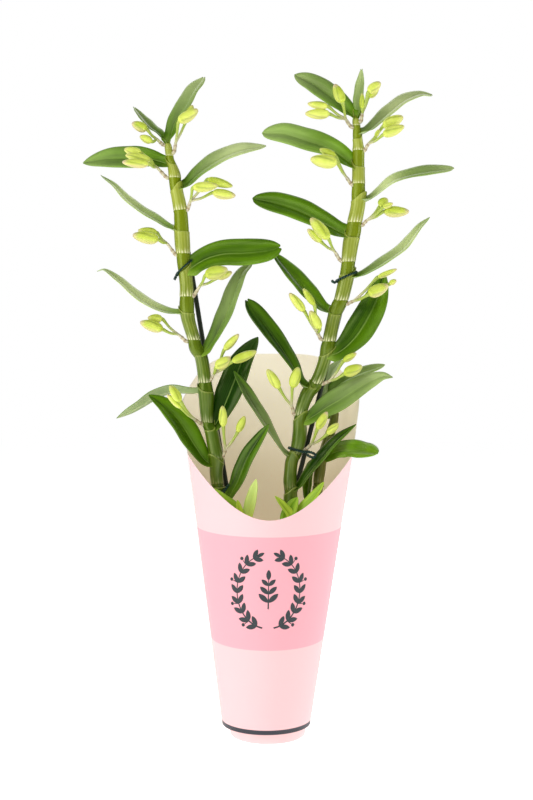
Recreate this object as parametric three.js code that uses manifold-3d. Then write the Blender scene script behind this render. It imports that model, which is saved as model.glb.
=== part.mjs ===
// A dendrobium orchid in bud: two leafy canes tied to support sticks, a short back cane and young
// shoots, all standing in a plastic pot of bark inside a cone-shaped card sleeve.
// Millimetres, +Z up, origin at the middle of the pot's underside, front of the sleeve towards -Y.
import * as THREE from "three";
import { mergeVertices } from "three/addons/utils/BufferGeometryUtils.js";
import Module from "manifold-3d";

const wasm = await Module();
wasm.setup();

// ---------------------------------------------------------------- driving dimensions

const GAP = 0.3; // air between pieces that touch on the real plant
const WELD = 1e-3; // vertices closer than this are one

// Points of the plant are listed as a front elevation: x to the right and z up, as they look from the
// eye point, and a depth y that moves each one along its line of sight.
const EYE = { x: -1.2, distance: 1130, height: 346 };

const POT = {
  baseRadius: 37.3,
  neckRadius: 53.9,
  rimRadius: 56.6,
  height: 108,
  rimHeight: 7,
  wall: 1.2,
  floor: 1.6,
  edge: 1, // rounding of the foot, and height of the slant below the rim
  segments: 32,
  holes: 6,
  holeRadius: 4,
  holeSides: 8,
  holeCircle: 26,
};

const SLEEVE = {
  bottom: 11,
  radiusAtZero: 42.3, // outer radius of the cone carried down to z = 0
  flare: 0.143, // growth of the radius for each mm of height
  wall: 0.8,
  lean: 0.0145, // sideways drift of the axis for each mm above the pot's rim
  frontTop: 221,
  sideTop: 281,
  shoulderTop: 332,
  backTop: 382,
  shoulder: [84, 98], // degrees from the front where the side climbs to the back arch
  columns: 84,
};

const BARK = {
  top: 96,
  rows: 3,
  columns: 32,
  roughness: 1.6,
  chunks: 14,
  chunkSize: [5, 9],
  chunkShape: [1, 0.7, 0.5],
  goldenAngle: Math.PI * (3 - Math.sqrt(5)), // turn from one chunk to the next
  seed: 7,
};

const CANE_SIDES = 8;
const SHOOT_STEPS = 6;
const LEAF = {
  thickness: 0.8,
  across: 2,
  stations: [0, 0.15, 0.32, 0.5, 0.68, 0.85, 1],
  youngStations: [0, 0.3, 0.6, 0.85, 1],
  baseShare: 0.42, // width where the blade leaves its sheath, as a share of the full width
  widest: 0.45,
  tipShare: 0.07,
  fold: 0.22, // rise of each half of the blade from the midrib
  root: 3, // how far below its base the blade is rooted in the cane
  lead: 0.4, // place of the line's first point, in steps of the line from the root
  drift: 1.4, // power of the run from the root's depth to the tip's
};
const STALK = {
  base: 1.7,
  fork: 1.5,
  pedicel: 1.1,
  sunk: 1.5, // how far its foot reaches into the cane's outline, before the cane is cut away
  sag: 1.2,
  ahead: 2, // how far its foot lies in front of the cane's middle
  forkAhead: 5,
};
const BUD = {
  sides: 6,
  shape: [[0, 0.26], [0.12, 0.72], [0.4, 1], [0.75, 0.78], [0.97, 0.2]], // share of length, of thickness
};
const STICK = { radius: 2.4, sides: 8, bottom: 24, chamfer: 2, tipShare: 0.6 };
const WIRE = { radius: 0.7, sides: 4, steps: 16, clearance: 0.85, twist: 1.3, tailSteps: 3, passes: 4 };

// ---------------------------------------------------------------- colours

const finish = (color, roughness, metalness = 0) =>
  new THREE.MeshStandardMaterial({ color, roughness, metalness });

const FINISH = {
  pot: finish("#f4c9c9", 0.45),
  bark: finish("#6b4a33", 0.95),
  card: finish("#fbd5d5", 0.6),
  cane: finish("#5f8a24", 0.4),
  backCane: finish("#6a7a34", 0.45),
  shoot: finish("#8cc63a", 0.45),
  bud: finish("#cfe45c", 0.5),
  stick: finish("#16231c", 0.5),
  wire: finish("#1d4038", 0.4, 0.3),
};

// ---------------------------------------------------------------- solids

/** A copy of a geometry with only its positions, its shared corners merged. */
function merged(geometry) {
  const bare = geometry.clone();
  bare.deleteAttribute("normal");
  bare.deleteAttribute("uv");
  return mergeVertices(bare, WELD);
}

/** A three.js geometry as a manifold-3d solid, turned to face outwards. */
function solid(geometry) {
  const { index, attributes } = merged(geometry);
  const corners = index.array;
  const kept = [];
  for (let i = 0; i < corners.length; i += 3) {
    const [a, b, c] = corners.slice(i, i + 3);
    if (a !== b && b !== c && c !== a) kept.push(a, b, c);
  }
  const build = (triVerts) =>
    new wasm.Manifold(
      new wasm.Mesh({
        numProp: 3,
        vertProperties: new Float32Array(attributes.position.array),
        triVerts: new Uint32Array(triVerts),
      }),
    );
  const shape = build(kept);
  return shape.volume() < 0 ? build(kept.reverse()) : shape;
}

/** The largest body of a solid, without loose scraps. */
function largestBody(shape) {
  return shape.decompose().reduce((a, b) => (a.volume() > b.volume() ? a : b));
}

/** A solid as a named mesh. */
function mesh(name, shape, material) {
  const { vertProperties, triVerts } = largestBody(shape).getMesh();
  const geometry = new THREE.BufferGeometry();
  geometry.setAttribute("position", new THREE.BufferAttribute(vertProperties, 3));
  geometry.setIndex(new THREE.BufferAttribute(triVerts, 1));
  geometry.computeVertexNormals();
  const made = new THREE.Mesh(geometry, material);
  made.name = name;
  return made;
}

/** A point of the front elevation at depth y. */
function at(x, y, z) {
  const scale = 1 + y / EYE.distance;
  return new THREE.Vector3(EYE.x + x * scale, y, EYE.height + (z - EYE.height) * scale);
}

/** A closed round limb through the centres, with a radius for each one, `grown` larger on every side. */
function limb(centres, radii, sides, grown = 0) {
  const last = centres.length - 1;
  const geometry = new THREE.CylinderGeometry(1, 1, 1, sides, last);
  const position = geometry.attributes.position;
  const depthAxis = new THREE.Vector3(0, 1, 0);
  for (let v = 0; v < position.count; v++) {
    const row = Math.round((0.5 - position.getY(v)) * last);
    const along = centres[Math.min(row + 1, last)].clone().sub(centres[Math.max(row - 1, 0)]);
    const across = depthAxis.clone().cross(along.normalize()).normalize();
    const deep = along.clone().cross(across);
    const overhang = row === 0 ? -grown : row === last ? grown : 0;
    const radius = radii[row] + grown;
    const place = centres[row]
      .clone()
      .addScaledVector(along, overhang)
      .addScaledVector(across, position.getX(v) * radius)
      .addScaledVector(deep, position.getZ(v) * radius);
    position.setXYZ(v, place.x, place.y, place.z);
  }
  return solid(geometry);
}

/** A limb along a smooth curve, whose radius runs evenly from its start to its end, `grown` larger. */
function stem(points, startRadius, endRadius, sides, steps, grown = 0) {
  const centres = new THREE.CatmullRomCurve3(points, false, "centripetal").getPoints(steps);
  const radii = centres.map((_, i) =>
    THREE.MathUtils.lerp(startRadius, endRadius, i / (centres.length - 1)),
  );
  return limb(centres, radii, sides, grown);
}

/** A closed solid from an open sheet: two copies of it, `offsets` above and below, joined at the border. */
function thicken(sheet, offsets) {
  const position = sheet.attributes.position;
  const count = position.count;
  const points = new Float32Array(count * 6);
  for (let v = 0; v < count; v++) {
    const middle = new THREE.Vector3().fromBufferAttribute(position, v);
    middle.clone().add(offsets[v]).toArray(points, v * 3);
    middle.clone().sub(offsets[v]).toArray(points, (v + count) * 3);
  }
  const upper = Array.from(sheet.index.array);
  const corners = [...upper];
  const border = new Map();
  for (let i = 0; i < upper.length; i += 3) {
    const face = upper.slice(i, i + 3);
    corners.push(...face.map((v) => v + count).reverse());
    face.forEach((from, side) => {
      const to = face[(side + 1) % 3];
      if (!border.delete(`${to} ${from}`)) border.set(`${from} ${to}`, [from, to]);
    });
  }
  for (const [from, to] of border.values()) {
    corners.push(to, from, from + count, to, from + count, to + count);
  }
  const geometry = new THREE.BufferGeometry();
  geometry.setAttribute("position", new THREE.BufferAttribute(points, 3));
  geometry.setIndex(corners);
  return solid(geometry);
}

/** Everything in a list joined into one solid. */
const join = (parts) => parts.reduce((all, part) => all.add(part));

// ---------------------------------------------------------------- leaves

/** Share of the full width at a share t of the blade's length. */
function bladeWidth(t) {
  const opening = THREE.MathUtils.smoothstep(t, 0, LEAF.widest);
  const past = Math.max(0, (t - LEAF.widest) / (1 - LEAF.widest));
  const closing = (1 - past ** 2.3) ** 0.72;
  return THREE.MathUtils.lerp(LEAF.baseShare, 1, opening) * Math.max(closing, LEAF.tipShare);
}

/**
 * One arched blade. `line` is its midrib in the elevation, `face` how far its upper side turns to the
 * front (0 is edge-on, 90 full face, negative shows the underside), `twist` what that grows by at the
 * tip, and `deep` the depth of the tip. `from` is the point where it is rooted.
 */
function blade({ line, width, face, twist = 0, deep }, from, stations = LEAF.stations) {
  const points = [from];
  line.forEach(([x, z], i) => {
    const share = ((i + LEAF.lead) / (line.length - 1 + LEAF.lead)) ** LEAF.drift;
    points.push(at(x, THREE.MathUtils.lerp(from.y, deep, share), z));
  });
  const midrib = new THREE.CatmullRomCurve3(points, false, "centripetal");
  const side = Math.sign(points.at(-1).x - from.x) || 1;
  const rows = stations.length - 1;
  const sheet = new THREE.PlaneGeometry(1, 1, LEAF.across, rows);
  const position = sheet.attributes.position;
  const offsets = [];
  for (let v = 0; v < position.count; v++) {
    const t = stations[Math.round((0.5 - position.getY(v)) * rows)];
    const along = midrib.getTangentAt(t);
    const angle = THREE.MathUtils.degToRad(face + twist * t);
    const normal = new THREE.Vector3(-along.z * side, 0, along.x * side)
      .normalize()
      .multiplyScalar(Math.cos(angle))
      .add(new THREE.Vector3(0, -Math.sin(angle), 0));
    normal.addScaledVector(along, -normal.dot(along)).normalize();
    const across = normal.clone().cross(along);
    const reach = position.getX(v) * width * bladeWidth(t);
    const place = midrib
      .getPointAt(t)
      .addScaledVector(across, reach)
      .addScaledVector(normal, Math.abs(reach) * LEAF.fold * 2 * (1 - t / 2));
    position.setXYZ(v, place.x, place.y, place.z);
    offsets.push(normal.multiplyScalar(LEAF.thickness / 2));
  }
  return thicken(sheet, offsets);
}

// ---------------------------------------------------------------- canes

/** Joints, swellings and waists of each cane from the tip down: x, z and thickness in the elevation. */
const CANES = {
  left: {
    depth: -4,
    rows: [
      [-98.5, 591, 3], [-98.5, 588, 6.2], [-96, 573, 7.7], [-93, 562, 10], [-91.8, 554.6, 11.6],
      [-91.1, 548, 12], [-87.5, 531, 13], [-86, 521.9, 13.6], [-85.3, 512, 14.3], [-84.1, 490, 14.7],
      [-83.3, 479, 14], [-82.5, 470, 14], [-80, 448, 12.8], [-79.7, 436, 14], [-79.7, 428, 15],
      [-78.4, 414, 13.4], [-72.3, 392.7, 12.8], [-70.5, 385, 14], [-65.3, 376, 12.8],
      [-61.3, 350, 13], [-61, 345, 14.5], [-60.3, 337, 15], [-59, 310.4, 11.6], [-55.5, 303, 13],
      [-52.5, 288, 13.4], [-49.6, 274, 14.3], [-50.3, 261, 12.5], [-49, 248, 12.4], [-45, 215, 12.8],
      [-39, 165, 12.6], [-33, 120, 12.2], [-29.5, 98, 13], [-27, 74, 10],
    ],
  },
  right: {
    depth: 0,
    rows: [
      [89, 617, 3], [89.3, 613, 6], [90.3, 604, 8], [90.5, 598, 8.8], [91.7, 588, 10],
      [92, 581.9, 12], [92, 573, 12], [92, 557, 12.2], [92, 548.7, 13], [91.9, 540, 14],
      [91.5, 528, 13.8], [88, 509.9, 14.7], [87, 502, 15.4], [84.6, 492, 15.6], [81.8, 470.7, 13.8],
      [81, 462, 14.5], [79, 451, 14.7], [74.3, 432, 14.3], [71.8, 427, 14.7], [67.9, 417, 13],
      [62.5, 391.3, 13.6], [61.3, 385, 15], [58, 372, 12.5], [49.7, 348.9, 13.4], [43, 340, 14],
      [35.3, 317.6, 11.8], [33.1, 299, 13], [29.5, 281, 13], [24, 266, 11.8], [24.4, 257, 13],
      [23.8, 243.4, 11.6], [24, 233, 13.6], [22.6, 205, 13], [20.5, 150, 12.6], [20, 98, 13],
      [20, 74, 10],
    ],
  },
  back: {
    depth: 24,
    rows: [
      [72, 326, 3], [71, 319, 7], [68.5, 308, 9], [61, 290, 10.4], [55.3, 273, 10], [53, 260, 11],
      [51.5, 248, 10], [47, 205, 10.6], [39, 140, 10.2], [34, 98, 11], [32, 78, 8],
    ],
  },
};

/** The cane's centre at a height of the elevation. */
function caneCentre({ rows, depth }, z) {
  const next = rows.findIndex(([, height]) => height <= z);
  if (next <= 0) return at(rows.at(next)[0], depth, z);
  const [x0, z0] = rows[next - 1];
  const [x1, z1] = rows[next];
  return at(THREE.MathUtils.mapLinear(z, z0, z1, x0, x1), depth, z);
}

/** The cane's radius at a height of the elevation. */
function caneRadius({ rows }, z) {
  const next = rows.findIndex(([, height]) => height <= z);
  const [, z0, width0] = rows[next - 1];
  const [, z1, width1] = rows[next];
  return THREE.MathUtils.mapLinear(z, z0, z1, width0, width1) / 2;
}

/** The bare cane, made thicker all round by `grown`. */
function cane({ rows, depth }, grown = 0) {
  return limb(
    rows.map(([x, z]) => at(x, depth, z)),
    rows.map(([, , thickness]) => thickness / 2),
    CANE_SIDES,
    grown,
  );
}

/** A cane with its leaves, each rooted in the cane a little below its own base. */
function leafyCane(frame, leaves) {
  const blades = leaves.map((leaf) => {
    const rootHeight = Math.min(leaf.line[0][1] - LEAF.root, frame.rows[1][1]);
    return blade(leaf, caneCentre(frame, rootHeight));
  });
  return join([cane(frame), ...blades]);
}

const LEAVES = {
  left: [
    { width: 20, face: 50, deep: 18,
      line: [[-94, 611], [-85.5, 630], [-76.5, 643], [-62.5, 655]] },
    { width: 17, face: 34, deep: 22,
      line: [[-106, 599], [-114.5, 606], [-123.5, 615], [-132.5, 625]] },
    { width: 23, face: 74, deep: 10,
      line: [[-101, 570], [-116.5, 575], [-138.5, 576], [-161.5, 575], [-183.5, 570]] },
    { width: 20, face: 40, deep: -18,
      line: [[-84.5, 546], [-69.5, 562], [-50.5, 575], [-28.5, 585], [-0.5, 588]] },
    { width: 20, face: 24, deep: 20,
      line: [[-91.5, 505], [-109.5, 516], [-125.5, 525], [-140.5, 534], [-153.5, 548], [-164.5, 557]] },
    { width: 28, face: 70, deep: -2,
      line: [[-77.5, 463], [-63.5, 477], [-44.5, 481], [-21.5, 481], [-0.5, 483], [14.5, 486]] },
    { width: 20, face: 22, deep: 16,
      line: [[-87.5, 422], [-106.5, 426], [-121.5, 433], [-133.5, 442], [-148.5, 455], [-162.5, 464],
        [-169.5, 462]] },
    { width: 21, face: 42, deep: 20,
      line: [[-63.5, 383], [-53.5, 400], [-41.5, 423], [-32.5, 445], [-23.5, 463], [-12.5, 471]] },
    { width: 21, face: -25, deep: 6,
      line: [[-69.5, 341], [-82, 343], [-96, 343.5], [-112, 338], [-127, 327], [-149, 313]] },
    { width: 25, face: 54, deep: -24,
      line: [[-58.5, 271], [-71.5, 288], [-86.5, 311], [-101.5, 328], [-117.5, 338]] },
    { width: 27, face: 68, deep: 5,
      line: [[-53.5, 303], [-42.5, 328], [-32.5, 350], [-23.5, 371], [-7.5, 395]] },
  ],
  right: [
    { width: 23, face: 62, deep: 16,
      line: [[86, 618], [76.5, 627], [61.5, 639], [45.5, 650], [27.5, 658]] },
    { width: 13, face: 42, deep: 3,
      line: [[90.5, 620], [91.5, 633], [93, 649], [94.9, 664]] },
    { width: 20, face: 34, deep: 20,
      line: [[96.5, 601], [108.5, 612], [122.5, 624], [138.5, 634], [153.5, 638.5], [165, 637]] },
    { width: 25, face: 62, deep: 14,
      line: [[88.5, 568], [76.5, 580], [61.5, 589], [38.5, 596], [16.5, 602], [-4.5, 601]] },
    { width: 20, face: 18, twist: 26, deep: -14,
      line: [[99.5, 534], [111.5, 545], [124.5, 556], [143.5, 560.5], [163.5, 564], [187.5, 565]] },
    { width: 24, face: 60, deep: 16,
      line: [[79.5, 499], [66.5, 507], [48.5, 517], [30.5, 525], [9.5, 531], [-13.5, 535]] },
    { width: 21, face: 26, deep: 18,
      line: [[87.5, 457], [103.5, 466], [119.5, 476], [134.5, 486], [144.5, 498], [153.5, 508],
        [163, 516]] },
    { width: 21, face: 44, deep: 22,
      line: [[61.5, 422], [46.5, 437], [33.5, 453], [21.5, 467], [6.5, 480]] },
    { width: 29, face: 68, deep: 3,
      line: [[67.5, 379], [83.5, 396], [98.5, 415], [110.5, 433], [121.5, 460]] },
    { width: 20, face: 44, deep: 6,
      line: [[37.5, 346], [29.5, 368], [18.5, 386], [6.5, 403], [-4.5, 418], [-15.5, 432]] },
    { width: 27, face: 62, deep: -25,
      line: [[39.5, 312], [58.5, 326], [78.5, 340], [98.5, 351], [115.5, 358], [126.5, 357]] },
    { width: 18, face: 36, deep: -18,
      line: [[20.5, 277], [10.5, 293], [-0.5, 312], [-12.5, 331], [-22.5, 347], [-32.5, 362]] },
    { width: 19, face: 42, deep: -12,
      line: [[28.5, 242], [40.5, 260], [53.5, 276], [68.5, 293], [89.5, 309]] },
  ],
  back: [
    { width: 22, face: 66, deep: -70,
      line: [[60.5, 273], [68, 278], [76, 281.5], [86, 284], [97, 284], [111.5, 282]] },
    { width: 13, face: 44, deep: 14,
      line: [[50, 266], [46, 256], [42.5, 245], [39.5, 233]] },
    { width: 18, face: 32, deep: 14,
      line: [[59, 322], [66, 343], [90, 356], [117, 366]] },
    { width: 17, face: -45, deep: 26,
      line: [[68, 330], [67, 345], [72, 362], [84, 375]] },
  ],
};

// ---------------------------------------------------------------- young shoots

/** Short leafy shoots at the foot of the plant: the stem's line as x, y, z, and the leaves on its top. */
const SHOOTS = {
  shoot_left: {
    stem: [[-25, -17, 78], [-30, -17, 150], [-36, -17, 228]],
    radii: [3.4, 2.6],
    leaves: [
      { width: 18, face: 50, deep: -24,
        line: [[-37.5, 236], [-30.5, 251], [-20.5, 275], [-10.5, 291], [2.5, 309]] },
    ],
  },
  shoot_front_left: {
    stem: [[-15, -36, 78], [-18, -36, 150], [-20, -36, 205]],
    radii: [3.2, 2.8],
    leaves: [
      { width: 12, face: 42, deep: -40,
        line: [[-25.5, 219.5], [-42, 234], [-58.8, 247]] },
      { width: 12, face: 60, deep: -34,
        line: [[-19, 216], [-15, 236], [-10.4, 254]] },
      { width: 7, face: 60, deep: -46,
        line: [[-24, 214], [-27, 224], [-29, 233]] },
    ],
  },
  shoot_front_right: {
    stem: [[15, -32, 78], [17, -32, 150], [19, -32, 203]],
    radii: [3.2, 2.8],
    leaves: [
      { width: 8, face: 60, deep: -40,
        line: [[24, 217], [17, 228], [8.5, 237]] },
      { width: 14, face: 66, deep: -26,
        line: [[20, 214], [25, 226], [31, 236]] },
    ],
  },
  shoot_right: {
    stem: [[34, -22, 78], [33, -24, 150], [31, -26, 208]],
    radii: [3.2, 2.6],
    leaves: [
      { width: 12, face: 42, deep: -34,
        line: [[34, 222], [46, 236], [57.4, 251]] },
    ],
  },
};

/** The bare stem of a shoot, made thicker all round by `grown`. */
function shootStem(shoot, grown = 0) {
  const [low, high] = shoot.radii;
  const points = shoot.stem.map(([x, y, z]) => at(x, y, z));
  return stem(points, low, high, CANE_SIDES, SHOOT_STEPS, grown);
}

/** A shoot with its leaves, all rooted just under the stem's top. */
function leafyShoot(shoot) {
  const [x, y, z] = shoot.stem.at(-1);
  const root = at(x, y, z - LEAF.root);
  const blades = shoot.leaves.map((leaf) => blade(leaf, root, LEAF.youngStations));
  return join([shootStem(shoot), ...blades]);
}

// ---------------------------------------------------------------- bud sprays

/**
 * Sprays of flower buds, one at most joints of the canes. `base` is where the stalk leaves the cane
 * and `fork` where it divides; each bud is x, z of its neck, x, z of its tip, thickness and depth.
 */
const SPRAYS = {
  left: [
    { base: [-92.9, 580], fork: [-90.8, 590],
      buds: [[-87.9, 611.6, -68.9, 623.3, 9, -22], [-80, 613, -73.8, 628, 7, -12]] },
    { base: [-102.9, 588], fork: [-110, 594], forkDepth: -13,
      buds: [[-119.4, 603.5, -134.7, 610, 9, -14], [-114.3, 591.4, -126.8, 597, 7, -20]] },
    { base: [-99.1, 555], fork: [-109, 565],
      buds: [[-125, 580, -142.5, 583.7, 8, -16], [-116, 573, -141.2, 578, 8, -24],
        [-117.6, 569, -144.4, 571, 8, -33]] },
    { base: [-79.6, 522.5], fork: [-76.2, 531.4],
      buds: [[-73.6, 545.4, -48.8, 547.3, 9, -24], [-58.9, 553.7, -33.8, 546.7, 8, -13],
        [-53.9, 540.3, -30.9, 537.2, 9, -14]] },
    { base: [-90.4, 478], fork: [-99.6, 489.6],
      buds: [[-108, 493.4, -134, 498, 11, -18], [-109.5, 500.3, -128.6, 502.6, 8, -8]] },
    { base: [-74.1, 436], fork: [-66.5, 447],
      buds: [[-61.1, 457.6, -38.8, 463.9, 12, -24], [-49.5, 455, -34.4, 461, 7, -14]] },
    { base: [-80, 391.4], fork: [-88.3, 398.4],
      buds: [[-103.6, 403.5, -126.5, 411, 10, -16], [-104.2, 414, -118.9, 415, 8, -8]] },
    { base: [-57, 352], fork: [-52.6, 359],
      buds: [[-50.7, 365.3, -36, 375.5, 10, -18], [-42.4, 383, -27.7, 399, 7, -12],
        [-34.1, 371.6, -9.8, 381.8, 8.5, -20]] },
    { base: [-63.6, 308.6], fork: [-72.6, 314.4], forkDepth: -17,
      buds: [[-86, 331.4, -96.7, 347.5, 8, -42], [-85, 325, -99.4, 338.5, 6, -36]] },
    { base: [-44.9, 275], fork: [-41.3, 283],
      buds: [[-43.1, 306.4, -44, 327.4, 7.5, -18], [-28.8, 301, -21.7, 317, 7, -16]] },
  ],
  right: [
    { base: [94, 611], fork: [96, 620.5], forkDepth: -8,
      buds: [[101.8, 641, 114, 650.8, 9, -20], [102, 636, 112, 645, 7, -10],
        [95.7, 624, 95.7, 640, 5, -13]] },
    { base: [85.5, 605.4], fork: [79.6, 613.3],
      buds: [[76.3, 630, 68, 649, 9.5, -22], [61.4, 626.6, 41, 629.5, 7, -20],
        [63, 619, 38.6, 619.5, 9, -18]] },
    { base: [97.6, 582], fork: [101.8, 588.8],
      buds: [[116.4, 606.4, 136.6, 616.4, 11, -9], [116.4, 598, 137.8, 607, 9, -19],
        [109, 596, 113, 604, 4, -10]] },
    { base: [86, 547.8], fork: [79.3, 556.5],
      buds: [[70.5, 570, 43.8, 574, 12, -26], [69, 577, 53, 584, 7, -16]] },
    { base: [95.4, 507.5], fork: [100.8, 512.8],
      buds: [[117.4, 521.5, 142.7, 521.5, 10, -14], [113.2, 526.5, 120.7, 534.8, 9, -8],
        [116.5, 525.7, 126.5, 529.8, 5, -20]] },
    { base: [74.7, 471.8], fork: [68, 481.7],
      buds: [[62.2, 494, 44, 515, 11, -24], [54.8, 491, 41, 504, 7, -13]] },
    { base: [80, 428.8], fork: [86.3, 431.6],
      buds: [[101.7, 438.6, 121.7, 447.7, 11, -20], [110.8, 455.5, 130.5, 464, 5, -14],
        [123, 449, 130, 453, 5, -18]] },
    { base: [55, 393.3], fork: [51, 400],
      buds: [[38, 421.6, 22.8, 440, 8, -10], [53.4, 404, 43.5, 422.4, 9, -16],
        [48, 427.7, 36.6, 444.6, 6, -18]] },
    { base: [55.8, 349], fork: [62.8, 352],
      buds: [[77.5, 359, 95.8, 367, 10, -18], [76.8, 371.8, 90, 380, 6, -13]] },
    { base: [28, 318], fork: [25, 327],
      buds: [[12.8, 344.7, 0.5, 363.8, 8.5, -12], [25.8, 345.4, 31.9, 366, 9.5, -17]] },
    { base: [38, 283], fork: [44, 288],
      buds: [[50.8, 304, 60.7, 321.3, 8, -20], [60.7, 299, 72.3, 309.7, 7, -16]] },
  ],
};

/** Centres and radii of a bud from its neck to its blunt point. */
function budRows(neck, tip, thickness) {
  return BUD.shape.map(([share, swell]) => ({
    centre: neck.clone().lerp(tip, share),
    radius: (swell * thickness) / 2,
  }));
}

/** One spray: a stalk seated against the cane, dividing into a pedicel and bud for each flower. */
function spray(frame, { base, fork, forkDepth = frame.depth - STALK.forkAhead, buds }) {
  const centre = caneCentre(frame, Math.min(base[1], frame.rows[1][1]));
  const edge = at(base[0], frame.depth - STALK.ahead, base[1]);
  const inward = centre.clone().sub(edge).setZ(0).normalize();
  const split = at(fork[0], forkDepth, fork[1]);
  const stalk = [
    { centre: edge.clone().addScaledVector(inward, STALK.sunk), radius: STALK.base },
    { centre: edge, radius: STALK.base },
  ];
  const flowers = buds.map(([x0, z0, x1, z1, thickness, depth], i) => {
    const neck = at(x0, depth, z0);
    const bend = split.clone().lerp(neck, 0.5).add(new THREE.Vector3(0, -STALK.sag, -STALK.sag));
    const first = i === 0;
    const rows = [
      ...(first ? stalk : []),
      { centre: split, radius: first ? STALK.fork : STALK.pedicel },
      { centre: bend, radius: STALK.pedicel },
      ...budRows(neck, at(x1, depth - 2, z1), thickness),
    ];
    return limb(rows.map((row) => row.centre), rows.map((row) => row.radius), BUD.sides);
  });
  return join(flowers).subtract(cane(frame, GAP));
}

// ---------------------------------------------------------------- support sticks and wire ties

/** Straight sticks behind the canes: top and foot as x, z in the elevation, and the depth of each. */
const STICKS = {
  left: { top: [-78.3, 482], foot: [-17.5, 108], depths: [9.5, 7] },
  right: { top: [86, 469], foot: [-5, 108], depths: [12, 17] },
};

/** The stick's centre at a height of the elevation. */
function stickCentre({ top, foot, depths }, z) {
  const share = (top[1] - z) / (top[1] - foot[1]);
  return at(top[0] + (foot[0] - top[0]) * share, depths[0] + (depths[1] - depths[0]) * share, z);
}

function stick(frame, grown = 0) {
  const { radius, sides, bottom, chamfer, tipShare } = STICK;
  const heights = [frame.top[1], frame.top[1] - chamfer, bottom];
  const radii = [radius * tipShare, radius, radius];
  return limb(heights.map((z) => stickCentre(frame, z)), radii, sides, grown);
}

/**
 * Ties: the side whose cane and stick they hold, the height at the cane, the slope across it, and the
 * tail as x, y, z.
 */
const TIES = {
  tie_left_top: {
    side: "left", height: 469.8, slope: 1.45,
    tail: [[-91, -8, 454.5], [-94, -9, 450], [-93, -9, 446.5]],
  },
  tie_left_low: {
    side: "left", height: 240, slope: 0.8,
    tail: [[-38, -2, 248], [-35.5, -4, 250.5], [-34, -5, 253]],
  },
  tie_right_top: {
    side: "right", height: 458.5, slope: 0.85,
    tail: [[70, -3, 452.6], [67.5, -4, 451], [64.5, -4, 449.5]],
  },
  tie_right_low: {
    side: "right", height: 283.2, slope: -0.38,
    tail: [[42, -10, 279], [45.5, -12.5, 280.5], [48.5, -13, 279]],
  },
};

/** A point of the wire's middle, `angle` round the cane and stick that it holds. */
function wirePoint({ side, height, slope }, angle) {
  const out = new THREE.Vector3(Math.cos(angle), Math.sin(angle), 0);
  const space = WIRE.radius + WIRE.clearance;
  const start = caneCentre(CANES[side], height);
  const point = start.clone();
  for (let pass = 0; pass < WIRE.passes; pass++) {
    const level = height + (point.x - start.x) * slope;
    const held = [
      { middle: caneCentre(CANES[side], level), radius: caneRadius(CANES[side], level) + space },
      { middle: stickCentre(STICKS[side], level), radius: STICK.radius + space },
    ];
    const [near, far] = held.map(({ middle, radius }) => middle.dot(out.clone()) + radius);
    const { middle, radius } = near > far ? held[0] : held[1];
    point.copy(middle).addScaledVector(out, radius);
  }
  return point.setZ(start.z + (point.x - start.x) * slope);
}

/** A wire ring round a cane and its stick, with the twisted ends of the wire as a short tail. */
function tie(frame) {
  const geometry = new THREE.TorusGeometry(1, 0.5, WIRE.sides, WIRE.steps);
  const position = geometry.attributes.position;
  for (let v = 0; v < position.count; v++) {
    const [x, y, z] = [position.getX(v), position.getY(v), position.getZ(v)];
    const angle = Math.atan2(y, x);
    const out = new THREE.Vector3(Math.cos(angle), Math.sin(angle), 0);
    const place = wirePoint(frame, angle)
      .addScaledVector(out, (Math.hypot(x, y) - 1) * 2 * WIRE.radius)
      .add(new THREE.Vector3(0, 0, z * 2 * WIRE.radius));
    position.setXYZ(v, place.x, place.y, place.z);
  }
  const tail = frame.tail.map(([x, y, z]) => at(x, y, z));
  const middle = caneCentre(CANES[frame.side], frame.height);
  const root = wirePoint(frame, Math.atan2(tail[0].y - middle.y, tail[0].x - middle.x));
  const twist = stem([root, ...tail], WIRE.radius * WIRE.twist, WIRE.radius, WIRE.sides, WIRE.tailSteps);
  return solid(geometry).add(twist);
}

// ---------------------------------------------------------------- pot, sleeve and bark

/** A lathe about the Z axis from a profile of radius and height. */
function turned(profile, segments) {
  const points = profile.map(([r, z]) => new THREE.Vector2(r, z));
  return new THREE.LatheGeometry(points, segments).rotateX(Math.PI / 2);
}

function pot() {
  const { baseRadius, neckRadius, rimRadius, height, rimHeight, wall, floor, edge, segments } = POT;
  const neck = height - rimHeight;
  const rimFoot = rimRadius - SLEEVE.flare * rimHeight; // the rim slopes as the sleeve does
  const body = solid(
    turned(
      [
        [0, 0], [baseRadius - edge, 0], [baseRadius, edge], [neckRadius, neck],
        [rimFoot, neck + edge], [rimRadius, height], [rimRadius - wall, height],
        [rimFoot - wall, neck + wall], [neckRadius - wall, neck - wall / 2],
        [baseRadius - wall, floor], [0, floor],
      ],
      segments,
    ),
  );
  const holes = Array.from({ length: POT.holes }, (_, i) => {
    const angle = ((i + 0.5) / POT.holes) * 2 * Math.PI;
    const hole = new THREE.CylinderGeometry(POT.holeRadius, POT.holeRadius, 3 * floor, POT.holeSides);
    hole.rotateX(Math.PI / 2);
    hole.translate(POT.holeCircle * Math.cos(angle), POT.holeCircle * Math.sin(angle), floor / 2);
    return solid(hole);
  });
  return body.subtract(join(holes));
}

/** Height of the sleeve's top edge at an angle from the front, in radians. */
function sleeveTop(angle) {
  const { frontTop, sideTop, shoulderTop, backTop, shoulder } = SLEEVE;
  const [low, high] = shoulder.map(THREE.MathUtils.degToRad);
  const turn = Math.abs(angle);
  if (turn <= low) return frontTop + (sideTop - frontTop) * Math.sin(turn) ** 2;
  const arch = backTop - (backTop - shoulderTop) * Math.sin(Math.PI - Math.max(turn, high)) ** 4;
  const climb = THREE.MathUtils.smoothstep(turn, low, high);
  return THREE.MathUtils.lerp(sideTop, arch, climb);
}

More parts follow.
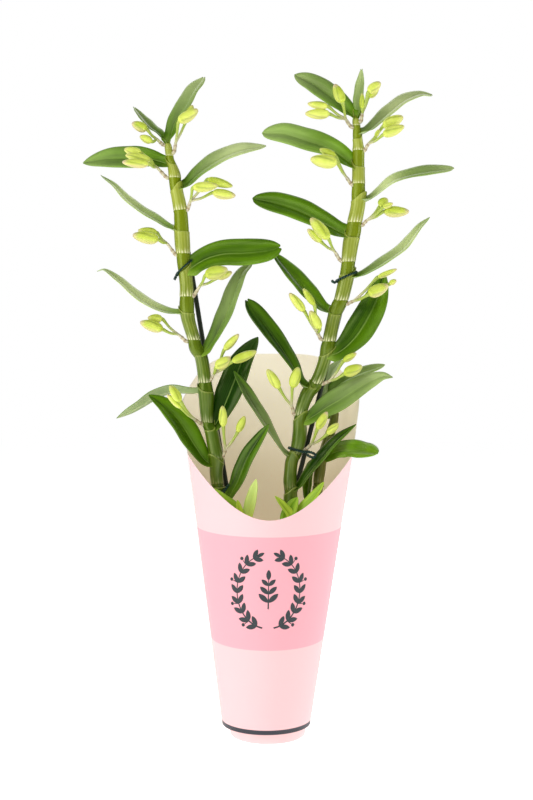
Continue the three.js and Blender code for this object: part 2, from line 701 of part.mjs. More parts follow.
/** Card cone, cut low in front and high behind. */
function sleeve() {
  const { bottom, radiusAtZero, flare, wall, lean, columns } = SLEEVE;
  const profile = [[2, 0], [2, 1], [1, 1], [1, 0], [2, 0]]; // radius 2 is the outer wall, height 1 the top
  const geometry = turned(profile, columns);
  const position = geometry.attributes.position;
  for (let v = 0; v < position.count; v++) {
    const [x, y, level] = [position.getX(v), position.getY(v), position.getZ(v)];
    const angle = Math.atan2(x, -y);
    const height = level > 0.5 ? sleeveTop(angle) : bottom;
    const inner = Math.hypot(x, y) < 1.5;
    const radius = radiusAtZero + flare * height - (inner ? wall : 0);
    const shift = lean * (height - POT.height);
    position.setXYZ(v, shift + radius * Math.sin(angle), -radius * Math.cos(angle), height);
  }
  return solid(geometry);
}

/** Repeatable random numbers from 0 to 1. */
function randomNumbers(seed) {
  let state = seed;
  return () => {
    state = (state * 16807) % 2147483647;
    return state / 2147483647;
  };
}

/** Bark mix that fills the pot, with a rough top and loose-looking chunks. */
function bark(stems) {
  const random = randomNumbers(BARK.seed);
  const { neckRadius, baseRadius, wall, floor, height, rimHeight } = POT;
  const neck = height - rimHeight;
  const radiusAt = (z) =>
    THREE.MathUtils.mapLinear(z, 0, neck, baseRadius, neckRadius) - wall - 2 * GAP;
  const top = radiusAt(BARK.top);
  const rings = Array.from({ length: BARK.rows }, (_, i) => [
    (top * (BARK.rows - i)) / BARK.rows,
    BARK.top,
  ]);
  const profile = [[0, floor + GAP], [radiusAt(floor + GAP), floor + GAP], ...rings, [0, BARK.top]];
  const fill = merged(turned(profile, BARK.columns));
  const position = fill.attributes.position;
  for (let v = 0; v < position.count; v++) {
    if (position.getZ(v) < BARK.top - 1) continue;
    position.setZ(v, BARK.top + (random() - 0.5) * 2 * BARK.roughness);
  }
  const [small, large] = BARK.chunkSize;
  const chunks = Array.from({ length: BARK.chunks }, (_, i) => {
    const size = THREE.MathUtils.lerp(small, large, random());
    const distance = (top - large) * Math.sqrt((i + 0.5) / BARK.chunks);
    const angle = i * BARK.goldenAngle;
    const chunk = new THREE.IcosahedronGeometry(size, 0);
    chunk.scale(...BARK.chunkShape);
    chunk.rotateX(random() - 0.5).rotateY(random() - 0.5).rotateZ(angle * 3);
    chunk.translate(distance * Math.cos(angle), distance * Math.sin(angle), BARK.top + 0.5);
    return solid(chunk);
  });
  return join([solid(fill), ...chunks]).subtract(join(stems));
}

// ---------------------------------------------------------------- the whole plant

const orchid = new THREE.Group();

const stemsInBark = [
  ...Object.values(CANES).map((frame) => cane(frame, GAP)),
  ...Object.values(SHOOTS).map((shoot) => shootStem(shoot, GAP)),
  ...Object.values(STICKS).map((frame) => stick(frame, GAP)),
];

orchid.add(mesh("pot", pot(), FINISH.pot));
orchid.add(mesh("potting_bark", bark(stemsInBark), FINISH.bark));
orchid.add(mesh("sleeve", sleeve(), FINISH.card));
orchid.add(mesh("cane_left", leafyCane(CANES.left, LEAVES.left), FINISH.cane));
orchid.add(mesh("cane_right", leafyCane(CANES.right, LEAVES.right), FINISH.cane));
orchid.add(mesh("cane_back", leafyCane(CANES.back, LEAVES.back), FINISH.backCane));
for (const [name, shoot] of Object.entries(SHOOTS)) {
  orchid.add(mesh(name, leafyShoot(shoot), FINISH.shoot));
}
for (const [side, sprays] of Object.entries(SPRAYS)) {
  sprays.forEach((each, i) => {
    const name = `bud_spray_${side}_${String(i + 1).padStart(2, "0")}`;
    orchid.add(mesh(name, spray(CANES[side], each), FINISH.bud));
  });
}
for (const [side, frame] of Object.entries(STICKS)) {
  orchid.add(mesh(`stick_${side}`, stick(frame), FINISH.stick));
}
for (const [name, each] of Object.entries(TIES)) {
  orchid.add(mesh(name, tie(each), FINISH.wire));
}

export default orchid;
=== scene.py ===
"""Looks of a dendrobium orchid in bud, standing in a pot of bark inside a tall card sleeve.

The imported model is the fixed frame: metres, +Z up, origin at the middle of the pot's underside, the low
front of the sleeve towards -Y. Sizes here are millimetres until `place`, `MM` or a piece's own method turns
them into metres. Points of the plant are listed as a front elevation, x to the right and z up as seen from
the eye point, with a depth that moves each one along its line of sight.
"""

import logging
import math
import random
from bisect import bisect_left
from dataclasses import dataclass, field
from enum import Enum
from typing import Callable, Iterable, Iterator, Sequence

import bmesh
import bpy
from bmesh.types import BMesh, BMFace, BMLayerItem, BMVert
from bpy.types import ID, Material, Node, NodeSocket, Object
from mathutils import Matrix, Vector, geometry, noise


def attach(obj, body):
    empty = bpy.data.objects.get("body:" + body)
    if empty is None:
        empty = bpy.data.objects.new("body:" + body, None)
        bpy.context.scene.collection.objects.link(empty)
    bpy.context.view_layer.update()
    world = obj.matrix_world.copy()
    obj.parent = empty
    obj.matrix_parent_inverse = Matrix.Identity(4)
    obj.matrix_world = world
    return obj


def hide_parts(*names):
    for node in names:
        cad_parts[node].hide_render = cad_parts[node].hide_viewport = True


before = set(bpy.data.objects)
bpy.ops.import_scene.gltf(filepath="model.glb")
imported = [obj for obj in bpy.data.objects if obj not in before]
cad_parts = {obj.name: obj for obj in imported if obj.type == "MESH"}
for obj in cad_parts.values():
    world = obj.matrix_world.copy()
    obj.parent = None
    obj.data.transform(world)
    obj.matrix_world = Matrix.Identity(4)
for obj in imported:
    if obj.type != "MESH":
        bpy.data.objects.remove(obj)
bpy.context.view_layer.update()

log = logging.getLogger("orchid")

MM = 0.001
TURN = 2 * math.pi
BODY = "root"
SEED = 11
DEPTH_AXIS = Vector((0, 1, 0))
WELD = 1e-6
UV_NAME = "UVMap"
NOWHERE = Vector((0, 0, 0))

Colour = tuple[int, int, int]
Pair = tuple[float, float]
Triple = tuple[float, float, float]
SheetShape = Callable[[float, float], Vector]
Value = float | tuple | NodeSocket


# ---- places and curves


@dataclass(frozen=True)
class EyePoint:
    """The point that the elevations are seen from, in millimetres."""

    x: float = -1.2
    distance: float = 1130.0
    height: float = 346.0


EYE = EyePoint()


def place(x: float, z: float, depth: float) -> Vector:
    """Puts a point of the front elevation at a depth.

    Args:
        x: distance to the right, in millimetres.
        z: height, in millimetres.
        depth: distance behind the pot's middle, in millimetres.

    Returns:
        The point in the frame, in metres.
    """
    spread = 1 + depth / EYE.distance
    return Vector((EYE.x + x * spread, depth, EYE.height + (z - EYE.height) * spread)) * MM


def mix(low: float, high: float, share: float) -> float:
    """A value part of the way from low to high."""
    return low + (high - low) * share


def ease(value: float, low: float, high: float) -> float:
    """A smooth step from 0 at low to 1 at high."""
    share = min(max((value - low) / (high - low), 0.0), 1.0)
    return share * share * (3 - 2 * share)


def bell(distance: float, width: float) -> float:
    """A smooth hump of height 1 that has faded out two widths away."""
    return math.exp(-((distance / width) ** 2))


class Profile:
    """A smooth curve through values at rising stations."""

    def __init__(self, stations: Sequence[float], values: Sequence[float]) -> None:
        """Keeps the stations and works out the slope at each.

        Args:
            stations: rising positions.
            values: the curve's value at each position.
        """
        self.stations = list(stations)
        self.values = list(values)
        last = len(self.stations) - 1
        self.slopes = [
            (self.values[min(i + 1, last)] - self.values[max(i - 1, 0)])
            / (self.stations[min(i + 1, last)] - self.stations[max(i - 1, 0)])
            for i in range(last + 1)
        ]

    def at(self, station: float) -> float:
        """The curve's value at a station, level beyond both ends."""
        if station <= self.stations[0]:
            return self.values[0]
        if station >= self.stations[-1]:
            return self.values[-1]
        right = bisect_left(self.stations, station)
        left = right - 1
        span = self.stations[right] - self.stations[left]
        t = (station - self.stations[left]) / span
        rise = self.values[right] - self.values[left]
        start, end = self.slopes[left] * span, self.slopes[right] * span
        bend = 3 * rise - 2 * start - end + t * (start + end - 2 * rise)
        return self.values[left] + t * (start + t * bend)


class SmoothLine:
    """A centripetal Catmull-Rom curve through points, read by its share of length."""

    STEPS = 24

    def __init__(self, points: Sequence[Vector]) -> None:
        """Draws and measures the curve.

        Args:
            points: what it passes through, in metres.
        """
        guide = [points[0] * 2 - points[1], *points, points[-1] * 2 - points[-2]]
        self.points = [points[0]]
        for stretch in zip(guide, guide[1:], guide[2:], guide[3:]):
            self.points += self._stretch(*stretch)
        self.lengths = [0.0]
        for a, b in zip(self.points, self.points[1:]):
            self.lengths.append(self.lengths[-1] + (b - a).length)
        self.length = self.lengths[-1]

    @classmethod
    def _stretch(cls, before: Vector, start: Vector, end: Vector, after: Vector) -> list[Vector]:
        """Samples of the curve between two points, without the first of them."""
        back, here, ahead = (
            max((b - a).length, WELD) ** 0.5 for a, b in ((before, start), (start, end), (end, after))
        )
        leave = (start - before) / back - (end - before) / (back + here) + (end - start) / here
        reach = (end - start) / here - (after - start) / (here + ahead) + (after - end) / ahead
        handles = start + leave * here / 3, end - reach * here / 3
        return geometry.interpolate_bezier(start, *handles, end, cls.STEPS + 1)[1:]

    def at(self, share: float) -> Vector:
        """The point at a share of the curve's length."""
        goal = min(max(share, 0.0), 1.0) * self.length
        right = min(max(bisect_left(self.lengths, goal), 1), len(self.points) - 1)
        span = self.lengths[right] - self.lengths[right - 1]
        return self.points[right - 1].lerp(self.points[right], (goal - self.lengths[right - 1]) / span)

    def along(self, share: float) -> Vector:
        """The direction of the curve at a share of its length."""
        reach = 0.01
        return (self.at(share + reach) - self.at(share - reach)).normalized()


# ---- meshes


def uv_layer(mesh: BMesh) -> BMLayerItem:
    """The mesh's UV map, made if it has none."""
    layers = mesh.loops.layers.uv
    return layers.get(UV_NAME) or layers.new(UV_NAME)


def sheet(
    mesh: BMesh, columns: int, rows: int, shape: SheetShape, rolled: bool = False, material: int = 0
) -> list[BMFace]:
    """Adds a grid bent to a shape, with its UV map running from 0 to 1 both ways.

    Args:
        mesh: the mesh to add to.
        columns: faces across, along u.
        rows: faces up, along v.
        shape: gives the place of each corner from its u and v.
        rolled: whether its two sides meet, as on a tube.
        material: the index of its material.

    Returns:
        The grid's faces, which face along du x dv.
    """
    uv_map = uv_layer(mesh)
    corners = bmesh.ops.create_grid(mesh, x_segments=columns, y_segments=rows, size=0.5)["verts"]
    spots = [(corner, corner.co.x + 0.5, corner.co.y + 0.5) for corner in corners]
    faces = []
    for corner in corners:
        for loop in corner.link_loops:
            loop[uv_map].uv = (corner.co.x + 0.5, corner.co.y + 0.5)
        faces += [face for face in corner.link_faces if face.loops[0].vert == corner]
    for face in faces:
        face.smooth = True
        face.material_index = material
    for corner, u, v in spots:
        corner.co = shape(u, v)
    if rolled:
        bmesh.ops.remove_doubles(mesh, verts=corners, dist=WELD)
    made = [face for face in faces if face.is_valid]
    for part in (*made, *(corner for corner in corners if corner.is_valid)):
        part.normal_update()
    return made


def mapped(mesh: BMesh, faces: Iterable[BMFace]) -> Iterator[tuple[BMVert, float, float]]:
    """The vertex, u and v at every corner of some faces."""
    uv_map = uv_layer(mesh)
    for face in faces:
        for loop in face.loops:
            yield loop.vert, *loop[uv_map].uv


def close_ends(mesh: BMesh, faces: Iterable[BMFace]) -> None:
    """Fills the open rims of a rolled sheet."""
    mesh.edges.index_update()
    rims = {edge for face in faces for edge in face.edges if edge.is_boundary}
    bmesh.ops.holes_fill(mesh, edges=sorted(rims, key=lambda edge: edge.index), sides=0)


def tube(
    mesh: BMesh, centres: Sequence[Vector], radii: Sequence[float], sides: int, material: int = 0
) -> list[BMFace]:
    """Adds a closed round limb through centres.

    Args:
        mesh: the mesh to add to.
        centres: the middle of each ring, in metres.
        radii: the radius of each ring, in millimetres.
        sides: corners of each ring.
        material: the index of its material.

    Returns:
        The faces of its side.
    """
    last = len(centres) - 1

    def ring(u: float, v: float) -> Vector:
        """A corner of the ring that v stands for."""
        row = round(v * last)
        along = (centres[min(row + 1, last)] - centres[max(row - 1, 0)]).normalized()
        across = DEPTH_AXIS.cross(along).normalized()
        out = across * math.cos(TURN * u) + along.cross(across) * math.sin(TURN * u)
        return centres[row] + out * (radii[row] * MM)

    faces = sheet(mesh, sides, last, ring, rolled=True, material=material)
    close_ends(mesh, faces)
    return faces


def thicken(mesh: BMesh, faces: Sequence[BMFace], thickness: float) -> list[BMFace]:
    """Gives a sheet a wall.

    Args:
        mesh: the mesh that holds it.
        faces: the sheet, which stays the outside.
        thickness: the wall, in millimetres.

    Returns:
        The new faces, at the inside and the edges.
    """
    made = bmesh.ops.solidify(mesh, geom=faces, thickness=thickness * MM)["geom"]
    walls = [part for part in made if isinstance(part, BMFace)]
    for face in walls:
        face.smooth = True
    return walls


def marked_mesh(marks: Sequence[str]) -> BMesh:
    """A new mesh with a value for each mark at every vertex."""
    mesh = bmesh.new()
    for mark in marks:
        mesh.verts.layers.float.new(mark)
    return mesh


def put(name: str, data: ID) -> Object:
    """A new object of its data, in the scene."""
    made = bpy.data.objects.new(name, data)
    bpy.context.scene.collection.objects.link(made)
    return made


def put_mesh(name: str, mesh: BMesh, materials: Sequence[Material] = ()) -> Object:
    """Turns a mesh into an object in the scene.

    Args:
        name: what it is called.
        mesh: its shape in the frame, freed here.
        materials: its finishes, in the order of their indices.

    Returns:
        The object, at the origin.
    """
    data = bpy.data.meshes.new(name)
    mesh.to_mesh(data)
    mesh.free()
    for material in materials:
        data.materials.append(material)
    return put(name, data)


@dataclass(frozen=True)
class Piece:
    """What a finished piece is called, what it stands for and how it is finished."""

    name: str
    slot: str
    materials: Sequence[Material]
    nodes: Sequence[str] = ()

    def finish(self, mesh: BMesh) -> Object:
        """Turns a mesh into an object that rides on the part.

        Args:
            mesh: the piece's shape in the frame, freed here.

        Returns:
            The object, at the origin.
        """
        made = put_mesh(self.name, mesh, self.materials)
        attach(made, BODY)
        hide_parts(*self.nodes)
        log.info("%s: %d faces", self.name, len(made.data.polygons))
        return made


@dataclass(frozen=True)
class Part:
    """A part of the plant that is one piece.

    Attributes:
        name: what the piece is called.
        node: the CAD node that it stands for.
    """

    name: str
    node: str


# ---- materials


class Maths(Enum):
    """The operations of a Math node that the finishes use."""

    ADD = "ADD"
    SUBTRACT = "SUBTRACT"
    MULTIPLY = "MULTIPLY"
    ABSOLUTE = "ABSOLUTE"
    SINE = "SINE"


def tint(colour: Colour) -> tuple[float, float, float, float]:
    """A colour given as red, green and blue from 0 to 255, as linear values for a socket."""

    def linear(channel: int) -> float:
        """One channel by the sRGB curve."""
        share = channel / 255
        return share / 12.92 if share <= 0.04045 else ((share + 0.055) / 1.055) ** 2.4

    return (*map(linear, colour), 1.0)


class Board:
    """The nodes of one material, laid out by short calls that return sockets."""

    def __init__(self, name: str) -> None:
        """Starts a material with a Principled shader.

        Args:
            name: the material's name.
        """
        self.material = bpy.data.materials.new(name)
        self.material.use_nodes = True
        self.tree = self.material.node_tree
        self.shader = self.tree.nodes["Principled BSDF"]
        self.ground: NodeSocket | None = None

    def feed(self, socket: NodeSocket, value: Value) -> None:
        """Links a socket to another one, or sets its value."""
        if isinstance(value, NodeSocket):
            self.tree.links.new(value, socket)
        else:
            socket.default_value = value

    def add(self, kind: str, *values: Value, **options: object) -> Node:
        """Adds a node.

        Args:
            kind: its type.
            *values: what its first inputs take, in their order.
            **options: its settings.

        Returns:
            The node.
        """
        node = self.tree.nodes.new(kind)
        for name, value in options.items():
            setattr(node, name, value)
        for socket, value in zip(node.inputs, values):
            self.feed(socket, value)
        return node

    def uv(self) -> tuple[NodeSocket, NodeSocket]:
        """The u and v of the piece's own map."""
        split = self.add("ShaderNodeSeparateXYZ", self.add("ShaderNodeUVMap", uv_map=UV_NAME).outputs["UV"])
        return split.outputs["X"], split.outputs["Y"]

    def spot(self) -> NodeSocket:
        """The place on the object, in metres."""
        return self.add("ShaderNodeTexCoord").outputs["Object"]

    def height(self) -> NodeSocket:
        """The height on the object, in metres."""
        return self.add("ShaderNodeSeparateXYZ", self.spot()).outputs["Z"]

    def depth(self) -> NodeSocket:
        """The depth on the object, to the back, in metres."""
        return self.add("ShaderNodeSeparateXYZ", self.spot()).outputs["Y"]

    def mark(self, name: str) -> NodeSocket:
        """The value of an attribute of the mesh."""
        return self.add("ShaderNodeAttribute", attribute_name=name).outputs["Fac"]

    def maths(self, operation: Maths, *values: Value) -> NodeSocket:
        """The result of an operation on sockets or numbers."""
        return self.add("ShaderNodeMath", *values, operation=operation.value).outputs["Value"]

    def plus(self, first: Value, second: Value) -> NodeSocket:
        """The sum of two values."""
        return self.maths(Maths.ADD, first, second)

    def times(self, first: Value, second: Value) -> NodeSocket:
        """The product of two values."""
        return self.maths(Maths.MULTIPLY, first, second)

    def scaled(self, value: Value, factor: float, shift: float = 0.0) -> NodeSocket:
        """A value times a factor, plus a shift."""
        return self.add("ShaderNodeMath", value, factor, shift, operation="MULTIPLY_ADD").outputs["Value"]

    def step(
        self, value: Value, low: Value, high: Value, start: float = 0.0, end: float = 1.0
    ) -> NodeSocket:
        """A smooth step from start at low to end at high."""
        node = self.add("ShaderNodeMapRange", value, low, high, start, end, interpolation_type="SMOOTHSTEP")
        return node.outputs["Result"]

    def between(self, value: Value, low: float, high: float, blur: float) -> NodeSocket:
        """1 where a value lies between low and high, and 0 outside, with a blur at both."""
        above = self.step(value, low - blur, low + blur)
        return self.times(above, self.step(value, high + blur, high - blur))

    def joined(self, x: Value, y: Value, z: Value = 0.0) -> NodeSocket:
        """A vector from three values."""
        return self.add("ShaderNodeCombineXYZ", x, y, z).outputs["Vector"]

    def stretched(self, vector: NodeSocket, scale: Triple) -> NodeSocket:
        """A vector with each of its parts scaled."""
        node = self.add("ShaderNodeMapping", vector)
        self.feed(node.inputs["Scale"], scale)
        return node.outputs["Vector"]

    def speckle(
        self, vector: Value, scale: float, detail: float = 3.0, roughness: float = 0.5
    ) -> NodeSocket:
        """Soft noise from 0 to 1."""
        node = self.add("ShaderNodeTexNoise")
        names = ("Vector", "Scale", "Detail", "Roughness")
        for name, value in zip(names, (vector, scale, detail, roughness)):
            self.feed(node.inputs[name], value)
        return node.outputs["Fac"]

    def lines(self, across: Value, count: float, wander: Value = 0.0) -> NodeSocket:
        """Even lines across a value that runs from 0 to 1, from -1 to 1 each."""
        return self.maths(Maths.SINE, self.plus(self.scaled(across, TURN * count), wander))

    def from_rib(self, u: NodeSocket) -> NodeSocket:
        """How far u is from a leaf's midrib, 1 at both margins."""
        return self.maths(Maths.ABSOLUTE, self.scaled(u, 2.0, -1.0))

    def blend(self, share: Value, first: Colour | NodeSocket, second: Colour | NodeSocket) -> NodeSocket:
        """A colour part of the way from the first to the second."""
        node = self.add("ShaderNodeMix", data_type="RGBA")
        sockets = {socket.identifier: socket for socket in node.inputs}
        self.feed(sockets["Factor_Float"], share)
        for name, colour in (("A_Color", first), ("B_Color", second)):
            self.feed(sockets[name], colour if isinstance(colour, NodeSocket) else tint(colour))
        return next(socket for socket in node.outputs if socket.identifier == "Result_Color")

    def relief(self, height: Value, depth: float) -> NodeSocket:
        """A normal bent by a height from 0 to 1 that stands for a depth in millimetres."""
        node = self.add("ShaderNodeBump")
        self.feed(node.inputs["Height"], height)
        self.feed(node.inputs["Distance"], depth * MM)
        return node.outputs["Normal"]

    def paint(self, share: Value, first: Colour, second: Colour) -> None:
        """Lays the ground colour, part of the way from the first colour to the second."""
        self.ground = self.blend(share, first, second)

    def coat(self, share: Value, colour: Colour) -> None:
        """Mixes a share of a colour over the ground so far."""
        self.ground = self.blend(share, self.ground, colour)

    def dress(self, roughness: Value, normal: NodeSocket | None = None, **sockets: Value) -> Material:
        """Connects the shader, with the ground as its base colour.

        Args:
            roughness: its roughness.
            normal: its bent normal, if any.
            **sockets: its other inputs by name, with underscores for spaces.

        Returns:
            The finished material.
        """
        sockets |= {"Base_Color": self.ground, "Roughness": roughness}
        if normal is not None:
            sockets["Normal"] = normal
        for name, value in sockets.items():
            self.feed(self.shader.inputs[name.replace("_", " ")], value)
        return self.material


@dataclass(frozen=True)
class BladeFinish:
    """Upper side of a leaf: glossy, with a groove along the midrib, fine parallel veins, and painted light
    and shade.
    """

    name: str
    shade: Colour = (18, 60, 0)
    light: Colour = (120, 172, 6)
    vein: Colour = (158, 192, 90)
    base: Colour = (132, 166, 46)
    # colour of the pale painted reflection on the blade
    pale: Colour = (222, 236, 168)
    veins: int = 17
    gloss: float = 0.3

    def material(self) -> Material:
        """Builds the finish."""
        board = Board(self.name)
        u, v = board.uv()
        from_rib = board.from_rib(u)
        wander = board.scaled(board.speckle(board.joined(u, board.scaled(v, 0.6)), 3.0), 2.2)
        lines = board.lines(u, self.veins, wander)
        course = board.joined(board.scaled(u, 1.5), board.scaled(v, 0.8), board.mark("tone"))
        streak = board.speckle(course, 3.0, 0.5)
        cloud = board.speckle(board.spot(), 34.0, 2.0)
        share = board.plus(board.scaled(cloud, 0.5, -0.02), board.scaled(streak, 0.7, -0.15))
        # Each leaf's tone: partly its own, partly painted shade and painted light for how much light that
        # leaf catches.
        share = board.plus(share, board.scaled(board.mark("tone"), 0.6))
        # One half of the blade painted lighter than the other: painted light, as if that half faced the
        # lamps.
        share = board.plus(share, board.step(u, 0.47, 0.53, -0.08, 0.08))
        # Darker beside the midrib: painted shade in its groove.
        share = board.maths(Maths.SUBTRACT, share, board.step(from_rib, 0.3, 0.04, 0.0, 0.14))
        board.paint(share, self.shade, self.light)
        # Painted reflection: pale colour laid over the blade as far as the leaf's mark for it asks, standing
        # for light glancing off it.
        painted_sheen = board.times(board.mark("painted_sheen"), board.step(cloud, 0.35, 0.6, 0.8, 1.0))
        board.coat(painted_sheen, self.pale)
        board.coat(board.step(lines, 0.2, 1.0, 0.0, 0.04), self.vein)
        rib = board.step(from_rib, 0.07, 0.015)
        fading = board.times(rib, board.step(v, 0.8, 0.15, 0.05, 0.55))
        board.coat(fading, self.vein)
        margin = board.step(from_rib, 0.84, 1.0, 0.0, 0.2)
        board.coat(margin, self.vein)
        board.coat(board.step(v, 0.15, 0.0, 0.0, 0.85), self.base)
        relief = board.plus(board.scaled(streak, 0.5), board.scaled(rib, -0.2))
        roughness = board.scaled(streak, 0.2, self.gloss - 0.1)
        return board.dress(roughness, board.relief(relief, 0.3),
                           Specular_IOR_Level=0.45, Specular_Tint=tint((240, 255, 180)))


@dataclass(frozen=True)
class UnderFinish:
    """Underside of a leaf: paler and duller, with a raised midrib; its pale colours are partly its own and
    partly painted light standing for light shining through the leaf.
    """

    name: str
    shade: Colour = (96, 132, 62)
    light: Colour = (172, 190, 130)
    rib: Colour = (190, 206, 140)
    veins: int = 9

    def material(self) -> Material:
        """Builds the finish."""
        board = Board(self.name)
        u, v = board.uv()
        from_rib = board.from_rib(u)
        # The leaf's tone lightens or darkens the underside too, partly as painted shade and painted light.
        share = board.plus(board.speckle(board.spot(), 45.0), board.scaled(board.mark("tone"), 0.4))
        board.paint(share, self.shade, self.light)
        lines = board.lines(u, self.veins)
        board.coat(board.step(lines, 0.0, 1.0, 0.0, 0.1), self.rib)
        rib = board.step(from_rib, 0.11, 0.03)
        board.coat(board.scaled(rib, 0.6), self.rib)
        board.coat(board.step(v, 0.14, 0.0, 0.0, 0.7), self.rib)
        relief = board.plus(board.scaled(lines, 0.05), rib)
        return board.dress(0.46, board.relief(relief, 0.4),
                           Subsurface_Weight=0.08, Subsurface_Radius=(0.6, 1.0, 0.2), Subsurface_Scale=0.001)


@dataclass(frozen=True)
class SkinFinish:
    """Bare cane between two sheaths: smooth, glossy and olive, with faint lengthwise lines."""

    name: str
    young: Colour = (124, 140, 4)
    old: Colour = (54, 86, 0)
    pale: Colour = (150, 168, 60)

    def material(self) -> Material:
        """Builds the finish."""
        board = Board(self.name)
        u, _ = board.uv()
        ageing = board.step(board.height(), 0.30, 0.56)
        board.paint(ageing, self.old, self.young)
        stretched = board.stretched(board.spot(), (1.0, 1.0, 0.12))
        cloud = board.step(board.speckle(stretched, 260.0, 4.0), 0.3, 0.75, 0.0, 0.3)
        board.coat(cloud, self.pale)
        wander = board.scaled(board.speckle(board.spot(), 80.0), 3.0)
        relief = board.scaled(board.lines(u, 18.0, wander), 0.5)
        return board.dress(0.2, board.relief(relief, 0.06),
                           Specular_IOR_Level=0.6, Specular_Tint=tint((240, 255, 170)))


@dataclass(frozen=True)
class SheathFinish:
    """Leaf sheath clasping the cane: pale veins, and whitish teeth that rise from the ring below it."""

    name: str
    green: Colour = (74, 104, 4)
    yellow: Colour = (168, 178, 62)
    vein: Colour = (204, 210, 116)
    tooth: Colour = (236, 234, 184)
    rim: Colour = (186, 200, 96)
    veins: int = 15
    top: float = 0.565
    foot: float = 0.32
    plain: float = 0.36

    def material(self) -> Material:
        """Builds the finish."""
        board = Board(self.name)
        u, v = board.uv()
        height = board.height()
        cloud = board.speckle(board.spot(), 60.0, 3.0)
        course = board.joined(board.scaled(u, 22.0), board.scaled(v, 0.8), height)
        streak = board.speckle(course, 1.6, 4.0, 0.6)
        share = board.plus(board.step(height, self.foot, self.top), board.scaled(cloud, 0.5, -0.25))
        share = board.plus(share, board.scaled(streak, 0.7, -0.35))
        board.paint(share, self.green, self.yellow)
        wander = board.scaled(board.speckle(board.joined(board.scaled(u, 5.0), v, height), 2.0), 3.6)
        lines = board.lines(u, self.veins, wander)
        bold = board.step(height, self.plain - 0.05, self.plain + 0.05, 0.04, 0.26)
        stripes = board.times(board.step(lines, 0.2, 1.0), bold)
        board.coat(stripes, self.vein)
        ragged = board.speckle(board.joined(board.scaled(u, 26.0), board.scaled(v, 0.8), height), 1.3, 2.0)
        reach = board.scaled(ragged, 0.7, -0.08)
        teeth = board.times(board.step(v, reach, 0.0), board.step(lines, -0.6, 0.7, 0.1, 0.95))
        teeth = board.times(teeth, board.step(height, self.plain - 0.08, self.plain, 0.25, 1.0))
        board.coat(teeth, self.tooth)
        board.coat(board.step(v, 0.93, 1.0, 0.0, 0.55), self.rim)
        relief = board.plus(board.scaled(stripes, 1.2), board.scaled(streak, 0.6))
        return board.dress(0.28, board.relief(relief, 0.12),
                           Specular_IOR_Level=0.8, Specular_Tint=tint((246, 255, 200)))


@dataclass(frozen=True)
class BudFinish:
    """Closed bud: waxy yellow-green, finely veined, with a pink blush at its point and painted shade in the
    same colour underneath.
    """

    name: str
    body: Colour = (242, 252, 116)
    shade: Colour = (188, 210, 40)
    seam: Colour = (140, 160, 44)
    blush_and_painted_shade: Colour = (222, 198, 160)
    heel: Colour = (200, 202, 130)
    veins: int = 18

    def material(self) -> Material:
        """Builds the finish."""
        board = Board(self.name)
        u, v = board.uv()
        cloud = board.speckle(board.spot(), 130.0, 2.0)
        share = board.plus(cloud, board.mark("tone"))
        board.paint(share, self.shade, self.body)
        lines = board.lines(u, self.veins, board.scaled(board.speckle(board.spot(), 90.0), 3.0))
        board.coat(board.step(lines, 0.2, 1.0, 0.0, 0.12), self.heel)
        board.coat(board.scaled(board.mark("seam"), 0.7), self.seam)
        # Blush at the point, and painted shade on the bud's lower side, both in the blush colour.
        board.coat(board.mark("blush_and_painted_shade"), self.blush_and_painted_shade)
        board.coat(board.step(v, 0.16, 0.0, 0.0, 0.6), self.heel)
        relief = board.scaled(lines, 0.5)
        return board.dress(0.42, board.relief(relief, 0.06),
                           Subsurface_Weight=0.15, Subsurface_Radius=(1.0, 1.0, 0.3), Subsurface_Scale=0.001)


@dataclass(frozen=True)
class StalkFinish:
    """Flower stalk: whitish and faintly pink at its foot, green under the bud."""

    name: str
    foot: Colour = (214, 206, 172)
    top: Colour = (172, 192, 78)
    scale: Colour = (150, 112, 78)

    def material(self) -> Material:
        """Builds the finish."""
        board = Board(self.name)
        _, v = board.uv()
        cloud = board.speckle(board.spot(), 300.0, 4.0)
        rise = board.step(board.plus(v, board.scaled(cloud, 0.3, -0.15)), 0.15, 0.75)
        board.paint(rise, self.foot, self.top)
        board.coat(board.scaled(board.mark("bract"), 0.75), self.scale)
        return board.dress(0.42, board.relief(cloud, 0.15),
                           Subsurface_Weight=0.12, Subsurface_Radius=(1.0, 1.0, 0.4), Subsurface_Scale=0.001)


@dataclass(frozen=True)
class StickFinish:
    """Dark ribbed plastic of the support sticks."""

    name: str
    dark: Colour = (10, 20, 8)
    light: Colour = (30, 44, 22)

    def material(self) -> Material:
        """Builds the finish."""
        board = Board(self.name)
        u, _ = board.uv()
        grain = board.speckle(board.stretched(board.spot(), (1.0, 1.0, 0.06)), 500.0, 4.0)
        board.paint(grain, self.dark, self.light)
        relief = board.plus(board.scaled(board.lines(u, 12.0), 0.3), grain)
        return board.dress(0.4, board.relief(relief, 0.1))


@dataclass(frozen=True)
class WireFinish:
    """Plastic-coated wire of the ties."""

    name: str
    dark: Colour = (6, 36, 30)
    light: Colour = (26, 84, 66)

    def material(self) -> Material:
        """Builds the finish."""
        board = Board(self.name)
        scuff = board.speckle(board.spot(), 700.0, 4.0)
        board.paint(board.step(scuff, 0.35, 0.8), self.dark, self.light)
        roughness = board.scaled(scuff, 0.3, 0.2)
        return board.dress(roughness, board.relief(scuff, 0.08))


@dataclass(frozen=True)
class PotFinish:
    """Thin moulded plastic of the pot, with faint flow marks."""

    name: str
    light: Colour = (252, 214, 214)
    dull: Colour = (244, 200, 202)

    def material(self) -> Material:
        """Builds the finish."""
        board = Board(self.name)
        flow = board.speckle(board.stretched(board.spot(), (1.0, 1.0, 3.0)), 45.0, 4.0)
        board.paint(flow, self.dull, self.light)
        pebble = board.speckle(board.spot(), 1500.0, 2.0)
        return board.dress(0.38, board.relief(pebble, 0.03),
                           Subsurface_Weight=0.1, Subsurface_Radius=(1.0, 0.6, 0.5), Subsurface_Scale=0.001)


